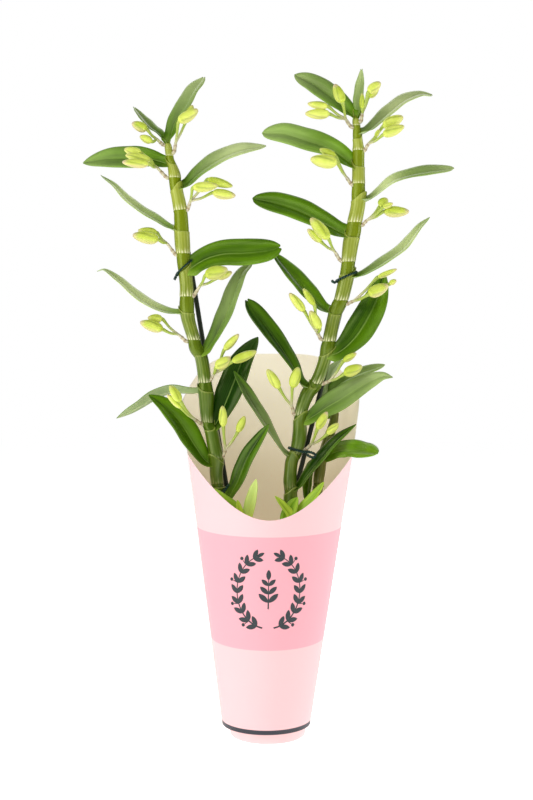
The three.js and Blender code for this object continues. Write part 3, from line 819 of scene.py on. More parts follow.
@dataclass(frozen=True)
class BarkFinish:
    """Broken pine bark, each chip of its own brown."""

    name: str
    dark: Colour = (52, 32, 22)
    middle: Colour = (104, 68, 44)
    light: Colour = (160, 118, 82)

    def material(self) -> Material:
        """Builds the finish."""
        board = Board(self.name)
        layers = board.speckle(board.stretched(board.spot(), (1.0, 1.0, 4.0)), 220.0, 6.0, 0.65)
        share = board.plus(board.step(layers, 0.3, 0.7), board.mark("tone"))
        board.paint(share, self.dark, self.middle)
        board.coat(board.step(layers, 0.56, 0.8, 0.0, 0.7), self.light)
        return board.dress(0.88, board.relief(layers, 1.2))


@dataclass(frozen=True)
class PrintedCardFinish:
    """Outside of the sleeve: pale pink print with a deeper band and a dark line near the foot."""

    name: str
    pink: Colour = (255, 207, 208)
    band: Colour = (255, 176, 186)
    line: Colour = (38, 46, 54)
    band_low: float = 0.098
    band_high: float = 0.2085
    band_tilt: float = 0.05
    line_top: float = 0.0158
    line_foot: float = 0.0113
    crisp: float = 0.0002

    def material(self) -> Material:
        """Builds the finish."""
        board = Board(self.name)
        height = board.height()
        mottle = board.speckle(board.spot(), 420.0, 5.0)
        board.paint(board.scaled(mottle, 0.1), self.pink, self.band)
        level = board.plus(height, board.scaled(board.depth(), -self.band_tilt))
        inside = board.between(level, self.band_low, self.band_high, self.crisp)
        board.coat(board.times(inside, board.scaled(mottle, 0.08, 0.94)), self.band)
        lined = board.between(height, self.line_foot, self.line_top, self.crisp)
        board.coat(lined, self.line)
        fibre = board.speckle(board.spot(), 1100.0, 4.0)
        return board.dress(0.48, board.relief(fibre, 0.04),
                           Coat_Weight=0.1, Coat_Roughness=0.35)


@dataclass(frozen=True)
class RawCardFinish:
    """Unprinted inside of the sleeve: warm beige board with fibres in it, painted shade lower down, and a
    painted glow that stands for light coming through the card, brightest near the rim.
    """

    name: str
    light: Colour = (252, 247, 232)
    dark: Colour = (226, 210, 184)
    fibre: Colour = (186, 166, 140)
    # colours of the painted glow, near the rim and deep down
    rim_glow: Colour = (255, 234, 212)
    deep_glow: Colour = (212, 192, 165)
    glow: float = 0.34

    def material(self) -> Material:
        """Builds the finish."""
        board = Board(self.name)
        cloud = board.speckle(board.spot(), 30.0, 5.0)
        fibres = board.speckle(board.stretched(board.spot(), (1.0, 1.0, 0.25)), 900.0, 5.0, 0.7)
        # Lighter towards the top, darker deep in the sleeve: painted shade.
        depth = board.step(board.height(), 0.12, 0.36)
        share = board.plus(board.scaled(depth, 0.75), board.scaled(cloud, 0.25))
        board.paint(share, self.dark, self.light)
        board.coat(board.step(fibres, 0.56, 0.72, 0.0, 0.3), self.fibre)
        # Painted glow: emission standing for light coming through the card, brighter near the rim.
        risen = board.step(board.height(), 0.22, 0.4)
        painted_glow = board.blend(risen, self.deep_glow, self.rim_glow)
        return board.dress(0.8, board.relief(fibres, 0.08),
                           Emission_Color=painted_glow, Emission_Strength=self.glow)


@dataclass(frozen=True)
class CutEdgeFinish:
    """Cut edge of the card, cream-white with a fibrous core."""

    name: str
    light: Colour = (255, 250, 244)
    core: Colour = (240, 226, 208)

    def material(self) -> Material:
        """Builds the finish."""
        board = Board(self.name)
        fibres = board.speckle(board.spot(), 1500.0, 4.0)
        board.paint(fibres, self.light, self.core)
        return board.dress(0.8, board.relief(fibres, 0.06))


@dataclass(frozen=True)
class InkFinish:
    """Dark slate ink of the wreath on the sleeve."""

    name: str
    dark: Colour = (28, 38, 42)
    light: Colour = (48, 60, 64)

    def material(self) -> Material:
        """Builds the finish."""
        board = Board(self.name)
        grain = board.speckle(board.spot(), 600.0, 5.0)
        board.paint(grain, self.dark, self.light)
        return board.dress(0.46, board.relief(grain, 0.02))


@dataclass(frozen=True)
class FloorFinish:
    """Plain pale studio floor."""

    name: str
    light: Colour = (255, 255, 255)
    dull: Colour = (250, 250, 250)
    glow: float = 0.8

    def material(self) -> Material:
        """Builds the finish."""
        board = Board(self.name)
        cloud = board.speckle(board.spot(), 3.0)
        board.paint(cloud, self.dull, self.light)
        return board.dress(0.7, Specular_IOR_Level=0.2,
                           Emission_Color=tint(self.light), Emission_Strength=self.glow)


class Palette:
    """Every finish of the plant and its pot, built once."""

    def __init__(self) -> None:
        """Builds the materials."""
        self.blade = BladeFinish("leaf_blade").material()
        self.under = UnderFinish("leaf_underside").material()
        self.skin = SkinFinish("cane_skin").material()
        self.sheath = SheathFinish("leaf_sheath").material()
        self.old_skin = SkinFinish("old_cane_skin", young=(96, 104, 30), old=(80, 88, 24)).material()
        self.old_sheath = SheathFinish(
            "old_sheath", green=(96, 104, 36), yellow=(132, 132, 58), vein=(170, 166, 104),
            rim=(160, 152, 96)
        ).material()
        # The young blades have their own colour of pale painted reflection too.
        self.young_blade = BladeFinish(
            "young_blade", shade=(112, 166, 8), light=(206, 240, 84), vein=(220, 240, 130),
            base=(200, 226, 110), pale=(226, 246, 150)
        ).material()
        young_under = UnderFinish("young_underside", shade=(130, 176, 40), light=(180, 208, 90))
        self.young_under = young_under.material()
        self.young_skin = SkinFinish("young_stem", young=(150, 186, 66), old=(140, 176, 60)).material()
        self.bud = BudFinish("bud_wax").material()
        self.stalk = StalkFinish("flower_stalk").material()
        self.stick = StickFinish("stick_plastic").material()
        self.wire = WireFinish("tie_coating").material()
        self.pot = PotFinish("pot_moulding").material()
        self.bark = BarkFinish("pine_bark").material()
        self.printed = PrintedCardFinish("printed_card").material()
        self.raw = RawCardFinish("raw_card").material()
        self.cut = CutEdgeFinish("cut_card").material()
        self.ink = InkFinish("slate_ink").material()
        self.floor = FloorFinish("studio_floor").material()


# ---- leaves


@dataclass(frozen=True)
class Leaf:
    """One blade: its midrib in the elevation, and how it is turned.

    Attributes:
        width: full width, in millimetres.
        face: degrees that its upper side turns to the front; 0 is edge-on, negative shows the underside.
        deep: depth of its tip.
        line: the midrib from its base, as x and z in the elevation.
        twist: degrees that `face` grows by at the tip.
        tone: from -1, darkest, to 1, lightest; partly the leaf's own tone, partly painted shade on leaves
            that sit in shade and painted light on ones that catch it.
        painted_sheen: share of a pale painted reflection, as if light glanced off the blade, at even steps
            from near its base to near its tip.
        notch: depth of the cleft in its tip, in millimetres.
        blunt: from 0, a pointed tip, to 1, a broad round one; below 0 it tapers from further down.
        sheath: heights of the ring below its sheath and of the sheath's rim, in the elevation.
        clasp: how far in front of the cane's middle its base starts, its margins bent back round the cane.
    """

    width: float
    face: float
    deep: float
    line: Sequence[Pair]
    twist: float = 0.0
    tone: float = 0.0
    painted_sheen: Sequence[float] = (0.0, 0.0)
    notch: float = 0.0
    blunt: float = 0.0
    sheath: Pair | None = None
    clasp: float = 0.0


BLADE_MARKS = ("tone", "painted_sheen")


@dataclass(frozen=True)
class BladeShape:
    """Proportions that all the blades share."""

    columns: int = 14
    rows: int = 44
    thickness: float = 0.55
    fullness_across: float = 1.06
    base_share: Pair = (0.5, 0.68)
    root_share: float = 0.4
    root_length: float = 0.07
    widest: Pair = (0.45, 0.56)
    fullness: Pair = (2.3, 3.0)
    closing: Pair = (0.72, 0.5)
    tip_share: float = 0.05
    notched_tip_share: float = 0.2
    fold: float = 0.2
    arch: float = 0.13
    soft_rib: float = 0.05
    channel: float = 0.55
    channel_length: float = 0.16
    wrap: float = -0.45
    wave: float = 0.22
    waves: float = 3.5
    wave_span: Pair = (0.1, 0.4)
    crown: float = 0.2
    crowd: float = 0.35
    cleft_width: float = 0.14
    cleft_start: float = 0.93
    painted_sheen_span: Pair = (0.15, 0.92)
    lead: float = 0.4
    drift: float = 1.4

    def spread(self, leaf: Leaf, v: float) -> float:
        """Width of a blade at a share of its length, as a share of its full width."""
        widest = mix(*self.widest, leaf.blunt)
        past = max(0.0, (v - widest) / (1 - widest))
        closing = (1 - past ** mix(*self.fullness, leaf.blunt)) ** mix(*self.closing, leaf.blunt)
        tip = self.notched_tip_share if leaf.notch else self.tip_share
        base = mix(*self.base_share, leaf.blunt) * mix(self.root_share, 1.0, ease(v, 0.0, self.root_length))
        return mix(base, 1.0, ease(v, 0.0, widest)) * max(closing, tip)

    def add(self, mesh: BMesh, leaf: Leaf, root: Vector, materials: tuple[int, int], phase: float) -> None:
        """Adds a leaf to a mesh.

        Args:
            mesh: the mesh to add to.
            leaf: the blade.
            root: where its midrib starts, in the frame.
            materials: the indices of the materials of its upper side and its underside.
            phase: turns the waves of its margins, in radians.
        """
        steps = len(leaf.line) - 1 + self.lead
        points = [root]
        for i, (x, z) in enumerate(leaf.line):
            share = ((i + self.lead) / steps) ** self.drift
            points.append(place(x, z, mix(root.y / MM, leaf.deep, share)))
        midrib = SmoothLine(points)
        side = -1 if points[-1].x < root.x else 1
        width = leaf.width * self.fullness_across

        def corner(u: float, v: float) -> Vector:
            """A corner of the upper side."""
            t = v + self.crowd * v * (1 - v) * (v - 0.5)
            along = midrib.along(t)
            angle = math.radians(leaf.face + leaf.twist * t)
            normal = Vector((-along.z, 0, along.x)).normalized() * (side * math.cos(angle))
            normal += Vector((0, -math.sin(angle), 0))
            normal = (normal - along * normal.dot(along)).normalized()
            across = normal.cross(along)
            reach = (0.5 - u) * width * self.spread(leaf, t)
            soft = self.soft_rib * width
            rise = (math.hypot(reach, soft) - soft) * self.fold * 2 * (1 - t / 2)
            channel = self.wrap if leaf.clasp else self.channel
            rise += abs(reach) * channel * (1 - ease(t, 0.0, self.channel_length))
            half = width / 2 * self.spread(leaf, t)
            pillow = 4 * abs(2 * u - 1) * (1 - abs(2 * u - 1))
            rise += half * self.arch * pillow * ease(t, 0.0, self.crown)
            rise -= half * (self.fold * (1 - t / 2) + self.arch * 2 / 3) * ease(t, 0.0, self.crown)
            edge = (2 * u - 1) ** 2
            flutter = math.sin(TURN * self.waves * t + phase + math.pi * round(u))
            rise += self.wave * edge * (flutter * ease(t, *self.wave_span))
            cleft = leaf.notch * bell(u - 0.5, self.cleft_width) * ease(t, self.cleft_start, 1.0)
            return midrib.at(t) + (across * reach + normal * rise - along * cleft) * MM

        upper, under = materials
        faces = sheet(mesh, self.columns, self.rows, corner, material=upper)
        tone, painted_sheen = (mesh.verts.layers.float[name] for name in BLADE_MARKS)
        # Each corner carries the leaf's tone and its share of pale painted reflection.
        steps = len(leaf.painted_sheen) - 1
        painted_sheens = Profile([mix(*self.painted_sheen_span, step / steps) for step in range(steps + 1)], leaf.painted_sheen)
        backs = thicken(mesh, faces, self.thickness)
        front = {vert for face in faces for vert in face.verts}
        for face in backs:
            face.material_index = upper if front.intersection(face.verts) else under
        for vert, _, v in mapped(mesh, [*faces, *backs]):
            vert[tone] = leaf.tone
            vert[painted_sheen] = max(0.0, painted_sheens.at(v))


BLADE = BladeShape()


# ---- canes


@dataclass(frozen=True)
class CaneLine:
    """The middle and thickness of a cane.

    Attributes:
        depth: how far it stands behind the pot's middle.
        rows: x, z and thickness in the elevation, from the tip down.
    """

    depth: float
    rows: Sequence[Triple]

    def middle(self) -> Profile:
        """The x of its middle by height."""
        return Profile([z for _, z, _ in self.rows[::-1]], [x for x, _, _ in self.rows[::-1]])

    def girth(self) -> Profile:
        """Its thickness by height."""
        return Profile([z for _, z, _ in self.rows[::-1]], [width for _, _, width in self.rows[::-1]])

    def centre(self, z: float) -> Vector:
        """The cane's middle at a height of the elevation, in the frame."""
        return place(self.middle().at(z), z, self.depth)


@dataclass(frozen=True)
class Cane(Part):
    """One leafy cane with its sheaths and leaves.

    Attributes:
        slot: the record's material slot; not used.
        line: its middle and thickness.
        leaves: its leaves, most with the sheath below them.
        bare: rings and rims of old sheaths whose leaves have dropped.
        seed: starts its random draws.
    """

    slot: str
    line: CaneLine
    leaves: Sequence[Leaf]
    bare: Sequence[Pair] = ()
    seed: int = 1
    sides: int = 32
    step: float = 1.5
    skin_depth: float = 0.1
    sheath_lift: float = 0.35
    sheath_wall: float = 0.45
    sheath_rows: int = 16
    sheath_gap: float = 0.15
    rim_lift: float = 0.42
    rim_peak: float = 2.6
    rim_flare: float = 0.25
    rim_lean: float = 1.3
    foot_pinch: float = 0.2
    ring_width: float = 0.7
    ring_rise: float = 0.4
    root_depth: float = 3.0
    tip_radius: float = 0.4

    def build(self, materials: Sequence[Material]) -> Object:
        """Builds the cane.

        Args:
            materials: skin, sheath, upper side and underside of the leaves.

        Returns:
            The finished piece.
        """
        draw = random.Random(self.seed)
        mesh = marked_mesh(BLADE_MARKS)
        middle, girth = self.line.middle(), self.line.girth()
        self._core(mesh, middle, girth)
        for leaf in self.leaves:
            if leaf.sheath:
                self._sheath(mesh, middle, girth, leaf.sheath, leaf)
        for span in self.bare:
            self._sheath(mesh, middle, girth, span, None)
        for leaf in self.leaves:
            height = min(leaf.line[0][1] - self.root_depth, self.line.rows[1][1])
            root = place(middle.at(height), height, self.line.depth - leaf.clasp)
            BLADE.add(mesh, leaf, root, (2, 3), draw.uniform(0, TURN))
        return Piece(self.name, self.slot, materials, (self.node,)).finish(mesh)

    def _core(self, mesh: BMesh, middle: Profile, girth: Profile) -> None:
        """Adds the bare cane, with a fine ridge at each ring."""
        low, high = middle.stations[0], middle.stations[-1]
        count = round((high - low) / self.step)
        heights = [mix(low, high, i / count) for i in range(count + 1)]
        rings = [ring for ring, _ in (*(leaf.sheath for leaf in self.leaves if leaf.sheath), *self.bare)]
        radii = []
        for z in heights:
            ridge = sum(bell(z - ring, self.ring_width) for ring in rings)
            radii.append(max(girth.at(z) / 2 - self.skin_depth, self.tip_radius) + self.ring_rise * ridge)
        centres = [place(middle.at(z), z, self.line.depth) for z in heights]
        tube(mesh, centres, radii, self.sides)

    def _sheath(self, mesh: BMesh, middle: Profile, girth: Profile, span: Pair, leaf: Leaf | None) -> None:
        """Adds a sheath from its ring to its rim, which rises and leans out below its leaf.

        Args:
            mesh: the mesh to add to.
            middle: the cane's x by height.
            girth: its thickness by height.
            span: heights of the ring and the rim.
            leaf: the leaf that it carries, if any.
        """
        ring, rim = span
        lift = self.rim_lift * leaf.width if leaf else 0.0
        towards = 0.0
        if leaf:
            tip = place(*leaf.line[1], leaf.deep)
            root = place(middle.at(rim), rim, self.line.depth)
            towards = math.atan2(tip.y - root.y, tip.x - root.x)

        def corner(u: float, v: float) -> Vector:
            """A corner of the sheath's outside."""
            angle = TURN * u + math.pi + towards
            turned = ((1 - math.cos(TURN * u)) / 2) ** self.rim_peak
            top = rim + lift * turned
            z = mix(ring + self.sheath_gap, top, v)
            flare = self.rim_flare * ease(v, 0.86, 1.0) - self.foot_pinch * ease(v, 0.06, 0.0)
            lean = self.rim_lean * turned * ease(z, rim - 2.0, rim + lift + 0.1)
            reach = (girth.at(z) / 2 + self.sheath_lift + flare + lean) * MM
            centre = place(middle.at(z), z, self.line.depth)
            return centre + Vector((math.cos(angle), math.sin(angle), 0)) * reach

        faces = sheet(mesh, self.sides, self.sheath_rows, corner, rolled=True, material=1)
        for face in thicken(mesh, faces, self.sheath_wall):
            face.material_index = 1


LEFT_LINE = CaneLine(-4, [
    (-98.5, 591, 3), (-98.5, 588, 6.2), (-96, 573, 7.7), (-92.6, 562, 10.8), (-91.6, 554.6, 12.2),
    (-91.1, 548, 12), (-87.5, 531, 13), (-86, 521.9, 13.6), (-85.3, 512, 14.3), (-84.1, 490, 14.7),
    (-83.3, 479, 14), (-82.5, 470, 14), (-80, 448, 12.8), (-79.7, 436, 14), (-79.7, 428, 15),
    (-78.4, 414, 13.4), (-72.3, 392.7, 12.8), (-70.5, 385, 14), (-65.3, 376, 12.8), (-61.3, 350, 13),
    (-61, 345, 14.5), (-60.3, 337, 15), (-59, 310.4, 11.6), (-55.5, 303, 13), (-52.5, 288, 13.4),
    (-49.6, 274, 14.3), (-50.3, 261, 12.5), (-49, 248, 12.4), (-45, 215, 12.8), (-39, 165, 12.6),
    (-33, 120, 12.2), (-29.5, 98, 13), (-27, 74, 10),
])
RIGHT_LINE = CaneLine(0, [
    (89, 617, 3), (89.3, 613, 6), (90.3, 604, 8), (90.5, 598, 8.8), (91.7, 588, 10), (92, 581.9, 12),
    (92, 573, 12), (92, 557, 12.2), (92, 548.7, 13), (91.9, 540, 14), (91.5, 528, 13.8),
    (88, 509.9, 14.7), (87, 502, 15.4), (84.6, 492, 15.6), (81.8, 470.7, 13.8), (81, 462, 14.5),
    (79, 451, 14.7), (74.3, 432, 14.3), (71.8, 427, 14.7), (67.9, 417, 13), (62.5, 391.3, 13.6),
    (61.3, 385, 15), (58, 372, 12.5), (49, 348.9, 13.4), (40.8, 339, 14.3), (33.8, 317.6, 12.2),
    (33.1, 299, 13.8), (30, 282, 13), (25.5, 273, 12.6), (24, 262, 12.2),
    (23.5, 252, 12.8), (23.8, 243.4, 12),
    (24, 233, 13.6), (22.6, 205, 13), (20.5, 150, 12.6), (20, 98, 13), (20, 74, 10),
])
BACK_LINE = CaneLine(24, [
    (69.5, 326, 3), (68.5, 319, 7), (66.3, 308, 9), (60.4, 290, 10.4), (55.3, 273, 10), (53, 260, 11),
    (51.5, 248, 10), (47, 205, 10.6), (39, 140, 10.2), (34, 98, 11), (32, 78, 8),
])

LEFT_LEAVES = (
    Leaf(21, 50, 18, ((-93, 611), (-82.5, 630), (-74.5, 644), (-62.8, 656.2)), tone=0.1,
         painted_sheen=(0, 0.6), notch=1.2, blunt=0.8, sheath=(583, 589)),
    Leaf(17, 34, 22, ((-105, 599), (-113.5, 606), (-122.5, 615.5), (-132, 626)), painted_sheen=(0, 0.4), notch=1.5,
         sheath=(576.7, 586)),
    Leaf(23, 74, 10, ((-101, 570), (-116.5, 575), (-138.5, 576), (-161.5, 575), (-183.5, 570)),
         painted_sheen=(0, 0.2), sheath=(554.6, 568)),
    Leaf(24.5, 42, -18, ((-84, 545.2), (-69.4, 561), (-50.8, 574.6), (-28.3, 583.9), (-0.5, 587.2)),
         painted_sheen=(0, 0.3, 0.75, 0.75), blunt=0.25, sheath=(521.9, 541)),
    Leaf(20, 32, 20, ((-91, 502.5), (-108.5, 514), (-125, 524), (-139.5, 535.5), (-152.5, 549),
         (-165.5, 558)), twist=-13, tone=0.2, painted_sheen=(0.2, 0.6, 1.0, 0.4), sheath=(479, 501)),
    Leaf(28, 70, -2, ((-78, 463), (-63.5, 474), (-44.5, 480), (-21.5, 481), (-0.5, 483), (14.5, 486)),
         tone=0.1, notch=2.2, blunt=1.0, sheath=(436, 461), clasp=6.2),
    Leaf(20, 30, 16, ((-87, 419.5), (-106, 425), (-121, 432.5), (-133.5, 442), (-148.5, 455),
         (-162.5, 464), (-169.5, 462)), twist=-13, tone=0.2, painted_sheen=(0.25, 1.0, 1.0, 0.5),
         sheath=(392.7, 419.5)),
    Leaf(24, 42, 20, ((-62.4, 381), (-52.2, 398.2), (-41.3, 421.8), (-33.4, 444), (-25, 461.6),
         (-14.5, 470.6)), painted_sheen=(0.05, 0.5), blunt=0.3, sheath=(350, 377.4), clasp=6.0),
    Leaf(21, -25, 6, ((-69.5, 341), (-82, 343), (-96, 343.5), (-112, 338), (-127.5, 328), (-150, 315)),
         sheath=(310.4, 341)),
    Leaf(24, 54, -24, ((-58.5, 271), (-70.7, 288.5), (-85.5, 311.7), (-101.5, 328), (-117.5, 338)),
         tone=-0.1, sheath=(249, 269.5)),
    Leaf(27, 68, 5, ((-53.5, 303), (-43, 328), (-34, 350.5), (-25.3, 372), (-8.5, 396)), tone=-1.0,
         sheath=(274, 302.8)),
)
RIGHT_LEAVES = (
    Leaf(25, 62, 16, ((86, 618.8), (77, 628.3), (62, 640.2), (46.2, 650.8), (28, 658.6)), tone=0.15,
         painted_sheen=(0, 0.35), blunt=0.5, sheath=(607, 614)),
    Leaf(13, 42, 3, ((90.5, 620), (91.5, 633), (93, 649), (94.9, 664)), tone=0.1, painted_sheen=(0.2, 0.6),
         notch=1.0),
    Leaf(24, 34, 20, ((97.3, 600.5), (109.8, 611.6), (123.5, 624.2), (138.5, 635.2), (153.8, 640),
         (166, 638.3)), tone=0.1, painted_sheen=(0.3, 0.9, 0.6), blunt=0.5, sheath=(581.9, 593.3)),
    Leaf(27, 62, 14, ((88.5, 566), (76.5, 578), (61.5, 587), (38.5, 594.5), (16.5, 600.5), (-4.5, 600)),
         tone=0.5, painted_sheen=(0, 0.35), blunt=0.9, sheath=(548.7, 565.2)),
    Leaf(22, 18, -14, ((99.5, 532.5), (112.4, 543.1), (125.8, 553.9), (143.5, 560), (163.5, 563.5),
         (187.5, 565)), twist=26, tone=0.1, painted_sheen=(0.4, 1.0, 0.35, 0.3, 0.5), blunt=0.6,
         sheath=(509.9, 531.7)),
    Leaf(27, 60, 16, ((79.5, 498.5), (66.5, 506.5), (48.5, 516.5), (30.5, 524.7), (9.5, 531), (-14, 535)),
         tone=0.1, blunt=0.9, sheath=(470.7, 494.9)),
    Leaf(21, 26, 18, ((87.5, 455.5), (104.4, 464.5), (120.2, 474.9), (135.2, 485.7), (145.2, 497.8),
         (153.5, 508), (163, 516)), tone=0.35, painted_sheen=(0.05, 0.5, 1.0, 0.6), sheath=(432, 458)),
    Leaf(25, 44, 22, ((61.5, 422), (46.2, 437.3), (32.9, 453), (20.5, 467), (6.5, 481)),
         sheath=(391.3, 417.7)),
    Leaf(29, 68, 3, ((70, 380), (86.6, 394.6), (99.4, 413.6), (108.9, 433), (117.8, 460.5)), tone=-0.15,
         sheath=(348.9, 376.9), clasp=6.2),
    Leaf(22.5, 22, 6, ((37.5, 346), (28.5, 367), (17, 385), (4.7, 402), (-7.4, 417.5), (-19.8, 433.6)),
         twist=40, tone=-0.45, blunt=0.95, notch=2.0, sheath=(317.6, 344.4)),
    Leaf(24, 62, -25, ((40, 313), (58.8, 326), (75, 335.5), (92, 346.5), (104, 352.5), (116.3, 357),
         (126, 355.8)), painted_sheen=(0.05, 0.45), blunt=-0.4, sheath=(278, 312.5), clasp=4.5),
    Leaf(20, 10, -18, ((20.5, 277), (10.5, 293), (-0.5, 312), (-12.5, 331), (-22.5, 347),
         (-32.5, 362)), twist=34, tone=-0.3, painted_sheen=(0.5, 0), sheath=(243.4, 274)),
    Leaf(19, 26, -12, ((28.5, 242), (40.5, 260), (53.5, 276), (68.5, 293), (89.5, 309)), tone=-0.35,
         sheath=(212, 239)),
)
BACK_LEAVES = (
    Leaf(22, 66, -70, ((60.5, 277), (68, 281.5), (76, 284), (86, 284.2), (97, 282.6), (111, 279.7)),
         tone=0.8, blunt=0.7, sheath=(250, 272)),
    Leaf(13, 40, 14, ((48.5, 271), (44, 268), (41.8, 259), (40.5, 247), (39.5, 233)), tone=0.1, blunt=0.8),
    Leaf(18, 32, 14, ((59, 322), (66, 345), (89, 359.5), (118.5, 368.5)), tone=0.6, painted_sheen=(0, 0.6),
         blunt=0.7, sheath=(300, 318)),
    Leaf(17, -45, 26, ((61, 330), (59, 345), (64, 361), (75, 374)), tone=1.0),
)

CANES = (
    Cane("left_cane", "cane_left", "cane_and_leaves", LEFT_LINE, LEFT_LEAVES,
         bare=((225, 246), (199, 222), (171, 196), (140, 168), (108, 137)), seed=3),
    Cane("right_cane", "cane_right", "cane_and_leaves", RIGHT_LINE, RIGHT_LEAVES,
         bare=((184, 209), (156, 181), (128, 153), (103, 125)), seed=5),
)
OLD_CANE = Cane("short_old_cane", "cane_back", "old_cane", BACK_LINE, BACK_LEAVES,
                bare=((276, 297), (226, 247), (200, 223), (172, 197), (142, 169), (112, 139)), seed=9)


# ---- young shoots


@dataclass(frozen=True)
class Shoot(Part):
    """A short leafy shoot at the foot of the plant.

    Attributes:
        stem: the stem's line as x, depth and z in the elevation.
        radii: radius of the stem at its foot and top.
        leaves: the leaves on its top.
        grown: whether its leaves have the dark finish of old ones.
    """

    stem: Sequence[Triple]
    radii: Pair
    leaves: Sequence[Leaf]
    grown: bool = False
    sides: int = 20
    steps: int = 60
    joints: int = 6
    joint_rise: float = 0.25
    root_depth: float = 3.0

    def build(self, materials: Sequence[Material]) -> Object:
        """Builds the shoot.

        Args:
            materials: skin, sheath, upper side and underside of the leaves.

        Returns:
            The finished piece.
        """
        mesh = marked_mesh(BLADE_MARKS)
        line = SmoothLine([place(x, z, depth) for x, depth, z in self.stem])
        shares = [i / self.steps for i in range(self.steps + 1)]
        low, high = self.radii
        radii = []
        for share in shares:
            joint = abs((share * self.joints) % 1 - 0.5) * 2
            radii.append(mix(low, high, share) + self.joint_rise * joint**6)
        tube(mesh, [line.at(share) for share in shares], radii, self.sides)
        x, depth, z = self.stem[-1]
        root = place(x, z - self.root_depth, depth)
        for i, leaf in enumerate(self.leaves):
            BLADE.add(mesh, leaf, root, (2, 3), 2.0 * i)
        return Piece(self.name, "young_shoot", materials, (self.node,)).finish(mesh)


SHOOTS = (
    Shoot("left_young_shoot", "shoot_left", ((-25, -17, 78), (-30, -17, 150), (-36, -17, 228)),
          (3.4, 2.6), (
              Leaf(18, 50, -24, ((-37.5, 236), (-30.5, 251), (-20.5, 275), (-10.5, 291), (2.5, 309)),
                   tone=-0.25),
          ), grown=True),
    Shoot("front_left_young_shoot", "shoot_front_left", ((-15, -36, 78), (-18, -36, 150), (-20, -36, 205)),
          (3.2, 2.8), (
              Leaf(12, 42, -40, ((-25.5, 219.5), (-42, 234), (-58.8, 247))),
              Leaf(12, 60, -34, ((-19, 216), (-15, 236), (-10.4, 254)), tone=0.7, painted_sheen=(0.5, 0.9)),
              Leaf(7, 60, -46, ((-24, 214), (-27, 224), (-29, 233)), tone=0.8),
          )),
    Shoot("front_right_young_shoot", "shoot_front_right", ((15, -32, 78), (17, -32, 150), (19, -32, 203)),
          (3.2, 2.8), (
              Leaf(8, 60, -40, ((24, 217), (17, 228), (8.5, 237)), tone=0.6),
              Leaf(14, 66, -26, ((20, 214), (25, 226), (31, 236)), tone=-0.2),
          )),
    Shoot("right_young_shoot", "shoot_right", ((34, -22, 78), (33, -24, 150), (31, -26, 208)),
          (3.2, 2.6), (
              Leaf(12, 42, -34, ((34, 222), (46, 236), (57.4, 251)), tone=0.25),
          )),
)


# ---- bud sprays


@dataclass(frozen=True)
class Spray:
    """A stalk at a joint of a cane, which divides into a short stalk and a bud for each flower.

    Attributes:
        base: where the stalk leaves the cane, in the elevation.
        fork: where it divides.
        buds: its buds, as x and z of the neck, x and z of the tip, thickness and depth.
        fork_depth: depth of the fork, if it isn't just in front of the cane.
    """

    base: Pair
    fork: Pair
    buds: Sequence[tuple[float, float, float, float, float, float]]
    fork_depth: float | None = None


BUD_MARKS = ("tone", "blush_and_painted_shade", "bract", "seam")


